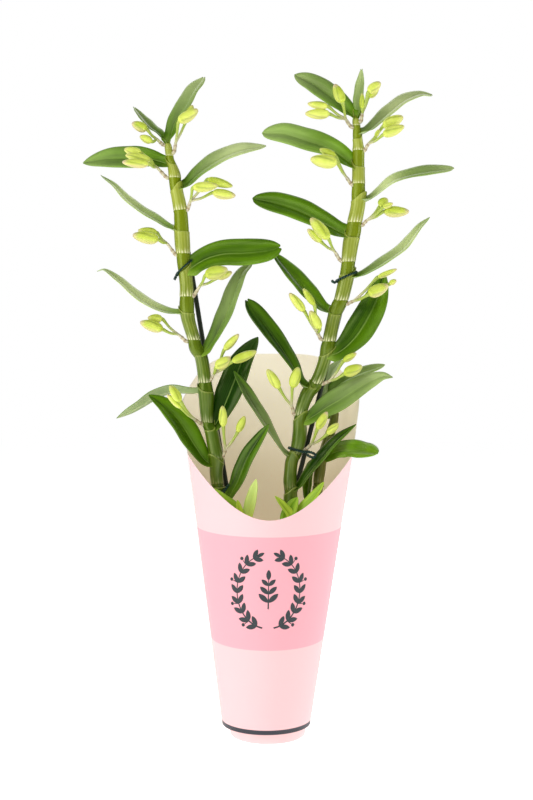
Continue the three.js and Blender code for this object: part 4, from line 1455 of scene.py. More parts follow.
@dataclass(frozen=True)
class SprayShape:
    """Proportions that all the sprays share."""

    base_radius: float = 1.8
    fork_radius: float = 1.6
    stalk_radius: float = 1.35
    neck_radius: float = 1.9
    sunk: float = 1.5
    sag: float = 1.2
    ahead: float = 2.0
    fork_ahead: float = 5.0
    sides: int = 14
    steps: int = 26
    knee: float = 0.3
    slimming: Pair = (0.15, 0.45)
    swelling: Pair = (0.72, 1.0)
    bracts: Pair = (0.1, 0.24)
    bract_width: float = 0.025
    bract_rise: float = 0.35
    scars: Pair = (0.12, 0.26)
    scar_width: float = 0.03
    bud_sides: int = 30
    bud_rows: int = 22
    seam_depth: float = 0.07
    seam_width: float = 0.16
    chin: float = 0.16
    plump: float = 1.14
    point: Pair = (0.72, 1.0)
    underside: Pair = (0.15, 0.95)
    painted_underside_shade: float = 0.75
    stations: Sequence[float] = (0.0, 0.05, 0.14, 0.27, 0.42, 0.6, 0.78, 0.92, 0.98, 1.0)
    swell: Sequence[float] = (0.26, 0.52, 0.78, 0.96, 1.0, 0.92, 0.72, 0.44, 0.23, 0.0)

    def build(
        self, name: str, node: str, line: CaneLine, spray: Spray, palette: Palette, seed: int
    ) -> Object:
        """Builds one spray.

        Args:
            name: what the piece is called.
            node: the CAD node that it stands for.
            line: the cane that carries it.
            spray: its places.
            palette: the finishes.
            seed: starts its random draws.

        Returns:
            The finished piece.
        """
        draw = random.Random(seed)
        mesh = marked_mesh(BUD_MARKS)
        marks = {mark: mesh.verts.layers.float[mark] for mark in BUD_MARKS}
        centre = line.centre(min(spray.base[1], line.rows[1][1]))
        edge = place(*spray.base, line.depth - self.ahead)
        inward = Vector((centre.x - edge.x, centre.y - edge.y, 0)).normalized()
        fork_depth = line.depth - self.fork_ahead if spray.fork_depth is None else spray.fork_depth
        fork = place(*spray.fork, fork_depth)
        start = [edge + inward * (self.sunk * MM), edge]
        for i, (x0, z0, x1, z1, thickness, depth) in enumerate(spray.buds):
            neck, tip = place(x0, z0, depth), place(x1, z1, depth - 2)
            bend = fork.lerp(neck, 0.5) + Vector((0, -self.sag, -self.sag)) * MM
            lead = start if i == 0 else [start[-1].lerp(fork, 0.55)]
            self._stalk(mesh, [*lead, fork, bend, neck, neck.lerp(tip, 0.06)], i == 0, marks["bract"])
            self._bud(mesh, neck, tip, thickness, draw, marks)
        return Piece(name, "bud_spray", (palette.bud, palette.stalk), (node,)).finish(mesh)

    def _stalk(self, mesh: BMesh, points: Sequence[Vector], first: bool, bract: BMLayerItem) -> None:
        """Adds a stalk, thicker under the bud, with bract rings at its foot.

        Args:
            mesh: the mesh to add to.
            points: what it passes through.
            first: whether it starts at the cane, and has the bracts.
            bract: the mark of the bracts.
        """
        line = SmoothLine(points)
        shares = [i / self.steps for i in range(self.steps + 1)]
        radii = []
        for share in shares:
            foot = mix(self.base_radius, self.fork_radius, share / self.knee) if first else self.stalk_radius
            slim = mix(foot, self.stalk_radius, ease(share, *self.slimming))
            rings = sum(bell(share - ring, self.bract_width) for ring in self.bracts) if first else 0.0
            radii.append(mix(slim, self.neck_radius, ease(share, *self.swelling)) + self.bract_rise * rings)
        faces = tube(mesh, [line.at(share) for share in shares], radii, self.sides, material=1)
        for vert, _, v in mapped(mesh, faces) if first else ():
            vert[bract] = sum(bell(v - scar, self.scar_width) for scar in self.scars)

    def _bud(
        self, mesh: BMesh, neck: Vector, tip: Vector, thickness: float,
        draw: random.Random, marks: dict[str, BMLayerItem],
    ) -> None:
        """Adds a pointed bud with three seams, a chin at its heel and a slight bend.

        Args:
            mesh: the mesh to add to.
            neck: where it joins its stalk.
            tip: its point.
            thickness: its full thickness, in millimetres.
            draw: gives its random values.
            marks: the marks of the mesh by name.
        """
        along = (tip - neck).normalized()
        across = DEPTH_AXIS.cross(along).normalized()
        deep = along.cross(across)
        length = (tip - neck).length
        turn, bend = draw.uniform(0, TURN), draw.uniform(0.03, 0.06)
        tone, blush_and_painted_shade = draw.uniform(-0.3, 0.3), draw.uniform(0.3, 1.0)
        swell = Profile(self.stations, self.swell)

        def crease(angle: float, share: float) -> float:
            """How deep in a seam a point is, from 0 to 1."""
            gaps = (angle - turn - share * 0.9 + k * TURN / 3 + math.pi for k in range(3))
            nearest = min(abs(gap % TURN - math.pi) for gap in gaps)
            return bell(nearest, self.seam_width) * ease(share, 0.05, 0.25)

        def corner(u: float, v: float) -> Vector:
            """A corner of the bud's skin."""
            share = (1 - math.cos(math.pi * v)) / 2
            angle = TURN * u
            radius = swell.at(share) * thickness / 2 * self.plump
            radius *= 1 - self.seam_depth * crease(angle, share)
            heel = self.chin * thickness * bell(share - 0.1, 0.1) * max(0.0, -math.sin(angle)) ** 2
            out = across * math.cos(angle) + deep * math.sin(angle)
            arch = deep * (bend * length * math.sin(math.pi * share))
            return neck + along * (length * share) + out * ((radius + heel) * MM) + arch

        faces = sheet(mesh, self.bud_sides, self.bud_rows, corner, rolled=True)
        close_ends(mesh, faces)
        for vert, u, v in mapped(mesh, faces):
            share = (1 - math.cos(math.pi * v)) / 2
            below = across.z * math.cos(TURN * u) + deep.z * math.sin(TURN * u)
            vert[marks["tone"]] = tone
            vert[marks["seam"]] = crease(TURN * u, share)
            # The lower side, by the frame's down, gets painted shade in the blush colour.
            low = self.painted_underside_shade * ease(-below, *self.underside)
            vert[marks["blush_and_painted_shade"]] = blush_and_painted_shade * max(ease(share, *self.point), low)


SPRAY = SprayShape()

LEFT_SPRAYS = (
    Spray((-92.9, 580), (-90.8, 590),
          ((-87.9, 611.3, -68.4, 623.6, 9.8, -22), (-80, 613, -73.8, 628, 7, -12))),
    Spray((-102.9, 588), (-110, 594),
          ((-119.4, 603.5, -134.7, 610, 9, -14), (-114.3, 591.4, -126.8, 597, 7, -20)), fork_depth=-13),
    Spray((-99.1, 555), (-109, 565),
          ((-125, 580, -142.5, 583.7, 8, -16), (-116, 573, -141.2, 578, 8, -24),
           (-117.6, 569, -144.4, 571, 8, -33))),
    Spray((-79.6, 522.5), (-76.2, 531.4),
          ((-73.6, 545.4, -48.8, 547.3, 9, -24), (-58.9, 553.7, -33.8, 546.7, 8, -13),
           (-53.9, 540.3, -30.9, 537.2, 9, -14))),
    Spray((-90.4, 478), (-99.6, 489.6),
          ((-108, 493.4, -134, 498, 11, -18), (-109.5, 500.3, -128.6, 502.6, 8, -8))),
    Spray((-74.1, 436), (-66.5, 447),
          ((-61.1, 457.6, -38.8, 463.9, 12, -24), (-49.5, 455, -34.4, 461, 7, -14))),
    Spray((-80, 391.4), (-88.3, 398.4),
          ((-103.6, 403.5, -126.5, 411, 10, -16), (-104.2, 414, -118.9, 415, 8, -8))),
    Spray((-57, 352), (-52.6, 359),
          ((-50.7, 365.3, -36, 375.5, 10, -18), (-42.4, 383, -27.7, 399, 7, -12),
           (-34.1, 371.6, -9.8, 381.8, 8.5, -20))),
    Spray((-63.6, 308.6), (-72.6, 314.4),
          ((-86, 331.4, -96.7, 347.5, 8, -42), (-85, 325, -99.4, 338.5, 6, -36)), fork_depth=-17),
    Spray((-44.9, 275), (-41.3, 283),
          ((-43.1, 306.4, -44, 327.4, 7.5, -18), (-28.8, 301, -21.7, 317, 7, -16))),
)
RIGHT_SPRAYS = (
    Spray((94, 611), (96, 620.5),
          ((101.8, 641, 114, 650.8, 9, -20), (102, 636, 112, 645, 7, -10), (95.7, 624, 95.7, 640, 5, -13)),
          fork_depth=-8),
    Spray((85.5, 605.4), (79.6, 613.3),
          ((76.3, 630, 68, 649, 9.5, -22), (61.4, 626.6, 41, 629.5, 7, -20),
           (63, 619, 38.6, 619.5, 9, -18))),
    Spray((97.6, 582), (101.8, 588.8),
          ((116.4, 606.4, 136.6, 616.4, 11, -9), (116.4, 598, 137.8, 607, 9, -19),
           (109, 596, 113, 604, 4, -10))),
    Spray((86, 547.8), (79.3, 556.5),
          ((70.5, 570, 43.8, 574, 12, -26), (69, 577, 53, 584, 7, -16))),
    Spray((95.4, 507.5), (100.8, 512.8),
          ((117.4, 521.5, 142.7, 521.5, 10, -14), (113.2, 526.5, 120.7, 534.8, 9, -8),
           (116.5, 525.7, 126.5, 529.8, 5, -20))),
    Spray((74.7, 471.8), (68, 481.7),
          ((62.2, 494, 44, 515, 11, -24), (54.8, 491, 41, 504, 7, -13))),
    Spray((80, 428.8), (86.3, 431.6),
          ((101.7, 438.6, 121.7, 447.7, 11, -20), (110.8, 455.5, 130.5, 464, 5, -14),
           (123, 449, 130, 453, 5, -18))),
    Spray((55, 393.3), (51, 400),
          ((38, 421.6, 22.8, 440, 8, -10), (53.4, 404, 43.5, 422.4, 9, -16),
           (48, 427.7, 36.6, 444.6, 6, -18))),
    Spray((55.8, 349), (62.8, 352),
          ((77.5, 359, 95.8, 367, 10, -18), (76.8, 371.8, 90, 380, 6, -13))),
    Spray((28, 318), (25, 327),
          ((12.8, 344.7, 0.5, 363.8, 8.5, -12), (25.8, 345.4, 31.9, 366, 9.5, -17))),
    Spray((38, 283), (44, 288),
          ((50.8, 304, 60.7, 321.3, 8, -20), (60.7, 299, 72.3, 309.7, 7, -16))),
)


# ---- support sticks and ties


@dataclass(frozen=True)
class Stick(Part):
    """A straight support stick behind a cane.

    Attributes:
        top: x and z of its top in the elevation.
        foot: x and z of a point near its foot.
        depths: depth at each of the two.
    """

    top: Pair
    foot: Pair
    depths: Pair
    radius: float = 2.4
    bottom: float = 24.0
    sides: int = 24
    steps: int = 40
    rounding: float = 2.0
    cap_steps: int = 6
    cap_flat: float = 0.35

    def centre(self, z: float) -> Vector:
        """The stick's middle at a height of the elevation, in the frame."""
        share = (self.top[1] - z) / (self.top[1] - self.foot[1])
        return place(mix(self.top[0], self.foot[0], share), z, mix(*self.depths, share))

    def build(self, palette: Palette) -> Object:
        """Builds the stick, with a rounded top.

        Args:
            palette: the finishes.

        Returns:
            The finished piece.
        """
        mesh = bmesh.new()
        high = self.top[1]
        heights = [mix(self.bottom, high - self.rounding, i / self.steps) for i in range(self.steps + 1)]
        radii = [self.radius] * len(heights)
        for i in range(1, self.cap_steps):
            angle = math.pi / 2 * i / self.cap_steps
            heights.append(high - self.rounding + self.rounding * math.sin(angle))
            radii.append(self.radius * mix(self.cap_flat, 1.0, math.cos(angle)))
        tube(mesh, [self.centre(z) for z in heights], radii, self.sides)
        return Piece(self.name, "stick", (palette.stick,), (self.node,)).finish(mesh)


@dataclass(frozen=True)
class Tie(Part):
    """A wire ring round a cane and its stick, its ends twisted into a short tail.

    Attributes:
        line: the cane that it holds.
        stick: the stick that it holds it to.
        height: where it crosses the cane's middle, in the elevation.
        slope: rise of the ring for each millimetre to the right.
        tail: the tail as x, depth and z.
    """

    line: CaneLine
    stick: Stick
    height: float
    slope: float
    tail: Sequence[Triple]
    radius: float = 1.1
    clearance: float = 0.6
    steps: int = 144
    sides: int = 10
    passes: int = 4
    strand: float = 0.8
    winding: float = 0.9
    ring_twists: int = 12
    pitch: float = 5.0
    tail_steps: int = 60

    def _middle(self, angle: float) -> Vector:
        """A point of the wire's middle, at an angle round what it holds."""
        out = Vector((math.cos(angle), math.sin(angle), 0))
        space = self.radius + self.clearance
        girth = self.line.girth()
        start = self.line.centre(self.height)
        point = start.copy()
        for _ in range(self.passes):
            level = self.height + (point.x - start.x) / MM * self.slope
            held = (
                (self.line.centre(level), girth.at(level) / 2 + space),
                (self.stick.centre(level), self.stick.radius + space),
            )
            middle, radius = max(held, key=lambda one: one[0].dot(out) + one[1] * MM)
            point = middle + out * (radius * MM)
        point.z = start.z + (point.x - start.x) * self.slope
        return point

    def build(self, palette: Palette) -> Object:
        """Builds the ring and its tail, both of two strands wound together.

        Args:
            palette: the finishes.

        Returns:
            The finished piece.
        """
        mesh = bmesh.new()
        ring = [self._middle(TURN * i / self.steps) for i in range(self.steps)]
        tail = [place(x, z, depth) for x, depth, z in self.tail]
        middle = self.line.centre(self.height)
        root = self._middle(math.atan2(tail[0].y - middle.y, tail[0].x - middle.x))
        core = SmoothLine([root, *tail])
        for turned in (0.0, math.pi):
            self._hoop(mesh, ring, turned)
            self._strand(mesh, core, turned)
        return Piece(self.name, "tie_wire", (palette.wire,), (self.node,)).finish(mesh)

    def _hoop(self, mesh: BMesh, ring: Sequence[Vector], turned: float) -> None:
        """Adds one of the two strands of the ring, wound round its middle."""
        up = Vector((0, 0, 1))

        def loop(u: float, v: float) -> Vector:
            """A corner of the strand's skin."""
            i = round(v * self.steps) % self.steps
            out = Vector((math.cos(TURN * v), math.sin(TURN * v), 0))
            wound = turned + TURN * self.ring_twists * v
            away = out * math.cos(wound) + up * math.sin(wound)
            middle = ring[i] + away * (self.strand * self.winding * MM)
            turned_out = out * math.cos(TURN * u) - up * math.sin(TURN * u)
            return middle + turned_out * (self.strand * MM)

        sheet(mesh, self.sides, self.steps, loop, rolled=True)

    def _strand(self, mesh: BMesh, core: SmoothLine, turned: float) -> None:
        """Adds one of the two strands of the tail, wound round its middle."""
        centres = []
        for i in range(self.tail_steps + 1):
            share = i / self.tail_steps
            along = core.along(share)
            across = DEPTH_AXIS.cross(along).normalized()
            angle = turned + core.length / MM / self.pitch * TURN * share
            out = across * math.cos(angle) + along.cross(across) * math.sin(angle)
            centres.append(core.at(share) + out * (self.strand * self.winding * MM))
        tube(mesh, centres, [self.strand] * (self.tail_steps + 1), self.sides)


LEFT_STICK = Stick("left_stick", "stick_left", (-78.3, 482), (-17.5, 108), (9.5, 7))
RIGHT_STICK = Stick("right_stick", "stick_right", (86, 469), (-5, 108), (12, 17))
TIES = (
    Tie("left_upper_tie", "tie_left_top", LEFT_LINE, LEFT_STICK, 465.5, 0.95,
        ((-90.5, -9, 456.5), (-92, -9.5, 453.5))),
    Tie("left_lower_tie", "tie_left_low", LEFT_LINE, LEFT_STICK, 239, 0.8,
        ((-43, -12, 240.5), (-40.5, -14, 244.5), (-37.5, -14, 248.5))),
    Tie("right_upper_tie", "tie_right_top", RIGHT_LINE, RIGHT_STICK, 456.5, 0.45,
        ((71, -5, 451.8), (67, -6, 450.6), (65.5, -6, 452.8))),
    Tie("right_lower_tie", "tie_right_low", RIGHT_LINE, RIGHT_STICK, 283.2, -0.25,
        ((42, -9, 281.2), (46.5, -12, 280), (49.2, -13, 277.6), (47.4, -13, 275.6), (43.6, -12, 276.4),
         (40, -10, 278.8))),
)


# ---- pot and bark


@dataclass(frozen=True)
class Pot:
    """Thin plastic pot with drain holes, sizes in millimetres."""

    base_radius: float = 37.3
    neck_radius: float = 53.9
    rim_radius: float = 56.6
    height: float = 108.0
    rim_height: float = 7.0
    rim_slope: float = 0.143
    wall: float = 1.2
    floor: float = 1.6
    edge: float = 1.0
    holes: int = 6
    hole_radius: float = 4.0
    hole_circle: float = 26.0
    hole_sides: int = 32
    segments: int = 128
    rounding: float = 0.35
    crisp: float = 25.0

    @property
    def neck(self) -> float:
        """Height of the neck below the rim."""
        return self.height - self.rim_height

    def radius(self, z: float) -> float:
        """Outer radius of the body at a height."""
        return mix(self.base_radius, self.neck_radius, z / self.neck)

    def build(self, palette: Palette) -> Object:
        """Builds the pot: a spun wall, rounded edges and drilled holes.

        Args:
            palette: the finishes.

        Returns:
            The finished piece.
        """
        rim_foot = self.rim_radius - self.rim_slope * self.rim_height
        wall, neck = self.wall, self.neck
        profile = (
            (0, 0), (self.base_radius - self.edge, 0), (self.base_radius, self.edge),
            (self.neck_radius, neck), (rim_foot, neck + self.edge), (self.rim_radius, self.height),
            (self.rim_radius - wall, self.height), (rim_foot - wall, neck + wall),
            (self.neck_radius - wall, neck - wall / 2), (self.base_radius - wall, self.floor),
            (0, self.floor),
        )
        mesh = bmesh.new()
        corners = [mesh.verts.new(Vector((radius, 0, z)) * MM) for radius, z in profile]
        edges = [mesh.edges.new(pair) for pair in zip(corners, corners[1:])]
        bmesh.ops.spin(mesh, geom=corners + edges, cent=NOWHERE, axis=(0, 0, 1), angle=TURN,
                       steps=self.segments, use_merge=True)
        bmesh.ops.remove_doubles(mesh, verts=mesh.verts, dist=WELD)
        bmesh.ops.recalc_face_normals(mesh, faces=mesh.faces)
        sharp = [edge for edge in mesh.edges if edge.calc_face_angle(0.0) > math.radians(self.crisp)]
        bmesh.ops.bevel(mesh, geom=sharp, offset=self.rounding * MM, affect="EDGES", segments=3,
                        profile=0.5, material=-1, clamp_overlap=True)
        for face in mesh.faces:
            face.smooth = True
        made = Piece("plant_pot", "pot_plastic", (palette.pot,), ("pot",)).finish(mesh)
        self._drill(made)
        return made

    def _drill(self, made: Object) -> None:
        """Cuts the drain holes through the floor."""
        mesh = bmesh.new()
        radius = self.hole_radius * MM
        for i in range(self.holes):
            angle = (i + 0.5) / self.holes * TURN
            x, y = self.hole_circle * math.cos(angle), self.hole_circle * math.sin(angle)
            bmesh.ops.create_cone(
                mesh, cap_ends=True, segments=self.hole_sides, radius1=radius, radius2=radius,
                depth=3 * self.floor * MM, matrix=Matrix.Translation(Vector((x, y, self.floor / 2)) * MM),
            )
        drill = put_mesh("drain_drill", mesh)
        cut = made.modifiers.new("drain", "BOOLEAN")
        cut.operation = "DIFFERENCE"
        cut.solver = "EXACT"
        cut.object = drill
        solid = bpy.data.meshes.new_from_object(made.evaluated_get(bpy.context.evaluated_depsgraph_get()))
        made.modifiers.clear()
        made.data = solid
        bpy.data.objects.remove(drill)


@dataclass(frozen=True)
class Bark:
    """Bark mix: a fill with a rough top, and loose chips lying on it."""

    top: float = 96.0
    gap: float = 0.6
    foot_gap: float = 0.3
    bumps: float = 2.2
    side_share: float = 0.04
    crowd: float = 0.8
    rings: int = 26
    segments: int = 96
    chips: int = 240
    chip_size: Pair = (3.2, 7.4)
    chip_shape: Triple = (1.0, 0.66, 0.42)
    chip_lift: Pair = (-0.6, 1.6)
    chip_tilt: float = 0.5
    chip_tone: float = 0.4
    chip_grain: float = 260.0
    chip_rough: float = 0.45
    clear: float = 7.5
    seed: int = SEED

    def build(self, pot: Pot, stems: Sequence[Vector], palette: Palette) -> Object:
        """Builds the mix.

        Args:
            pot: what it fills.
            stems: where stems and sticks stand in it, which chips keep clear of.
            palette: the finishes.

        Returns:
            The finished piece.
        """
        draw = random.Random(self.seed)
        mesh = marked_mesh(("tone",))
        tone = mesh.verts.layers.float["tone"]
        foot = pot.floor + self.foot_gap
        inner = pot.wall + self.gap
        reach = pot.radius(self.top) - inner

        def corner(u: float, v: float) -> Vector:
            """A corner of the fill: the first row is its foot, the others run in over its top."""
            radius, z = reach * (1 - v) ** self.crowd, self.top
            if v < self.side_share:
                radius, z = pot.radius(foot) - inner, foot
            out = Vector((math.cos(TURN * u), math.sin(TURN * u), 0)) * radius
            lump = noise.noise(out * 0.18) + 0.5 * noise.noise(out * 0.5)
            if v >= self.side_share and radius < reach - 1:
                z += self.bumps * lump
            return (out + Vector((0, 0, z))) * MM

        close_ends(mesh, sheet(mesh, self.segments, self.rings, corner, rolled=True))
        for _ in range(self.chips):
            size = draw.uniform(*self.chip_size)
            distance = (reach - size - 1) * math.sqrt(draw.random())
            angle, lift = draw.uniform(0, TURN), draw.uniform(*self.chip_lift)
            tilt = Matrix.Rotation(draw.uniform(-self.chip_tilt, self.chip_tilt), 4, "X")
            turn = tilt @ Matrix.Rotation(draw.uniform(0, TURN), 4, "Z")
            shade, phase = draw.uniform(-self.chip_tone, self.chip_tone), draw.uniform(0, 90)
            spot = Vector((distance * math.cos(angle), distance * math.sin(angle), self.top + lift))
            if any(Vector((spot.x - stem.x, spot.y - stem.y)).length < self.clear for stem in stems):
                continue
            shape = Matrix.Diagonal((*self.chip_shape, 1))
            made = bmesh.ops.create_icosphere(
                mesh, subdivisions=2, radius=size * MM, matrix=Matrix.Translation(spot * MM) @ turn @ shape
            )["verts"]
            for vert in made:
                vert[tone] = shade
                rough = noise.noise(vert.co * self.chip_grain + Vector((phase, 0, 0)))
                vert.co += (vert.co - spot * MM) * (self.chip_rough * rough)
        for face in mesh.faces:
            face.smooth = len(face.verts) == 4
        return Piece("bark_mix", "bark", (palette.bark,), ("potting_bark",)).finish(mesh)


# ---- sleeve


@dataclass(frozen=True)
class Sleeve:
    """Card cone, cut low in front and high behind, sizes in millimetres."""

    bottom: float = 11.0
    radius_at_zero: float = 42.3
    flare: float = 0.143
    wall: float = 0.55
    lean: float = 0.0145
    upright: float = 108.0
    front_top: float = 221.0
    side_top: float = 281.0
    shoulder_top: float = 332.0
    back_top: float = 382.0
    shoulder: Pair = (84.0, 98.0)
    seam: Pair = (-97.0, -81.0)
    seam_rise: float = 0.3
    seam_drop: float = 0.4
    seam_bite: float = 0.1
    seam_columns: int = 20
    sharp: float = 0.5
    upright_face: float = 0.5
    columns: int = 360
    rows: int = 28

    def top(self, angle: float) -> float:
        """Height of the top edge at an angle from the front, in radians."""
        low, high = map(math.radians, self.shoulder)
        turn = abs(angle)
        if turn <= low:
            return self.front_top + (self.side_top - self.front_top) * math.sin(turn) ** 2
        arch = self.back_top - (self.back_top - self.shoulder_top) * math.sin(math.pi - max(turn, high)) ** 4
        return mix(self.side_top, arch, ease(turn, low, high))

    def skin(self, angle: float, z: float, proud: float = 0.0) -> Vector:
        """A point of the outside, in metres.

        Args:
            angle: how far round from the front, to the right, in radians.
            z: height, in millimetres.
            proud: distance that the point stands out from the card, in millimetres.

        Returns:
            The point in the frame.
        """
        radius = self.radius_at_zero + self.flare * z + proud
        shift = self.lean * (z - self.upright)
        return Vector((shift + radius * math.sin(angle), -radius * math.cos(angle), z)) * MM

    def build(self, palette: Palette) -> Object:
        """Builds the cone with its glued overlap.

        Args:
            palette: the finishes.

        Returns:
            The finished piece.
        """
        mesh = bmesh.new()

        def wrap(u: float, v: float) -> Vector:
            """A corner of the cone's outside."""
            angle = TURN * (u - 0.5)
            return self.skin(angle, mix(self.bottom, self.top(angle), v))

        def lap(u: float, v: float) -> Vector:
            """A corner of the overlap's outside."""
            angle = math.radians(mix(*self.seam, u))
            return self.skin(angle, mix(self.bottom, self.top(angle) - self.seam_drop, v), self.seam_rise)

        around = sheet(mesh, self.columns, self.rows, wrap, rolled=True)
        over = sheet(mesh, self.seam_columns, self.rows, lap)
        thicken(mesh, around, self.wall)
        thicken(mesh, over, self.seam_rise + self.seam_bite)
        mesh.normal_update()
        for face in mesh.faces:
            middle = face.calc_center_median()
            outward = face.normal.dot(Vector((middle.x, middle.y, 0)).normalized())
            face.smooth = abs(outward) > self.upright_face
            face.material_index = (0 if outward > 0 else 1) if face.smooth else 2
        for edge in mesh.edges:
            edge.smooth = edge.calc_face_angle(0.0) < self.sharp
        finishes = (palette.printed, palette.raw, palette.cut)
        return Piece("card_sleeve", "sleeve_card", finishes, ("sleeve",)).finish(mesh)


@dataclass(frozen=True)
class Wreath:
    """Oval wreath of two mirrored branches, printed on the front of the sleeve round a small sprig."""

    middle: float = 153.0
    half_width: float = 31.0
    half_height: float = 36.0
    start: float = -80.0
    end: float = 68.0
    stem: float = 1.5
    leaves: int = 9
    leaf: Pair = (11.0, 4.8)
    leans: Pair = (-34.0, 40.0)
    berry: float = 3.4
    berry_lean: float = 78.0
    berry_stalk: Pair = (5.5, 0.7)
    sprig: Pair = (-17.0, 12.0)
    sprig_joints: Triple = (0.22, 0.5, 0.78)
    proud: float = 0.1
    sunk: float = 0.03

    def build(self, sleeve: Sleeve, palette: Palette) -> Object:
        """Builds the print.

        Args:
            sleeve: the card that it lies on.
            palette: the finishes.

        Returns:
            The finished piece.
        """
        mesh = bmesh.new()
        for side in (-1, 1):
            self._branch(mesh, side)
        self._sprig(mesh)
        for vert in mesh.verts:
            across, height = vert.co.x, vert.co.y + self.middle
            radius = sleeve.radius_at_zero + sleeve.flare * height
            vert.co = sleeve.skin(across / radius, height, self.proud)
        faces = list(mesh.faces)
        bmesh.ops.solidify(mesh, geom=faces, thickness=(self.proud + self.sunk) * MM)
        return Piece("sleeve_print", "sleeve_card", (palette.ink,)).finish(mesh)

    @staticmethod
    def _patch(mesh: BMesh, base: Pair, angle: float, size: Pair, roundness: float = 0.85) -> None:
        """Adds a lens-shaped patch.

        Args:
            mesh: the mesh to add to.
            base: where it starts.
            angle: where it points, in degrees.
            size: its length and width.
            roundness: 1 for pointed ends, less for rounder ones.
        """
        length, width = size
        turn = math.radians(angle)

        def corner(u: float, v: float) -> Vector:
            """A corner of the patch."""
            along = length * u
            across = width * (v - 0.5) * (1 - (2 * u - 1) ** 2) ** roundness
            return Vector((
                base[0] + along * math.cos(turn) - across * math.sin(turn),
                base[1] + along * math.sin(turn) + across * math.cos(turn),
                0,
            ))

        faces = sheet(mesh, 14, 4, corner)
        corners = list({vert: None for face in faces for vert in face.verts})
        bmesh.ops.remove_doubles(mesh, verts=corners, dist=0.01)

    @staticmethod
    def _stroke(mesh: BMesh, path: Callable[[float], Pair], widths: Pair, steps: int) -> None:
        """Adds a tapering stroke.

        Args:
            mesh: the mesh to add to.
            path: gives its middle at a share of its length.
            widths: its width at both ends.
            steps: faces along it.
        """

        def corner(u: float, v: float) -> Vector:
            """A corner of the stroke."""
            x, y = path(v)
            ahead, behind = path(min(v + 0.01, 1.0)), path(max(v - 0.01, 0.0))
            along = Vector((ahead[0] - behind[0], ahead[1] - behind[1], 0)).normalized()
            across = Vector((along.y, -along.x, 0))
            return Vector((x, y, 0)) + across * (mix(*widths, v) * (u - 0.5))

        sheet(mesh, 2, steps, corner)

    def _branch(self, mesh: BMesh, side: int) -> None:
        """Adds one side of the wreath: its stem, leaves in pairs, and berries between them.

        Args:
            mesh: the mesh to add to.
            side: -1 for the left, 1 for the right.
        """

        def path(v: float) -> Pair:
            """The stem at a share of its length."""
            turn = math.radians(mix(self.start, self.end, v))
            return side * self.half_width * math.cos(turn), self.half_height * math.sin(turn)

        self._stroke(mesh, path, (self.stem, self.stem * 0.5), 40)
        for i in range(self.leaves):
            share = (i + 0.6) / self.leaves
            x, y = path(share)
            ahead = path(min(share + 0.02, 1.0))
            heading = math.degrees(math.atan2(ahead[1] - y, ahead[0] - x))
            size = (self.leaf[0] * (1 - 0.12 * share), self.leaf[1] * (1 - 0.1 * share))
            for lean in self.leans:
                self._patch(mesh, (x, y), heading + side * lean, size)
            if i % 2:
                stalk = heading - side * self.berry_lean
                turn, away = math.radians(stalk), self.berry_stalk[0]
                spot = (x + away * math.cos(turn), y + away * math.sin(turn))
                self._patch(mesh, (x, y), stalk, self.berry_stalk, 0.2)
                self._patch(mesh, spot, stalk, (self.berry, self.berry), 0.5)
        tip = path(1.0)
        before = path(0.97)
        heading = math.degrees(math.atan2(tip[1] - before[1], tip[0] - before[0]))
        self._patch(mesh, tip, heading, (self.leaf[0] * 0.75, self.leaf[1] * 0.7))

    def _sprig(self, mesh: BMesh) -> None:
        """Adds the upright sprig in the middle."""
        self._stroke(mesh, lambda v: (0.0, mix(*self.sprig, v)), (1.4, 0.8), 12)
        for i, share in enumerate(self.sprig_joints):
            height = mix(*self.sprig, share)
            for side in (-1, 1):
                self._patch(mesh, (0.0, height), 90 - side * 48, (12.5 - 1.8 * i, 5.0 - 0.5 * i))
        self._patch(mesh, (0.0, self.sprig[1] - 1), 90.0, (10.0, 4.6))


# ---- studio


@dataclass(frozen=True)
class Softbox:
    """A rectangular area light that looks at a point."""

    name: str
    spot: Triple
    aim: Triple
    size: Pair
    power: float

    def build(self) -> None:
        """Hangs the light."""
        data = bpy.data.lights.new(self.name, "AREA")
        data.shape = "RECTANGLE"
        data.size, data.size_y = self.size
        data.energy = self.power
        light = put(self.name, data)
        light.location = self.spot
        away = Vector(self.spot) - Vector(self.aim)
        light.rotation_euler = away.to_track_quat("Z", "Y").to_euler()


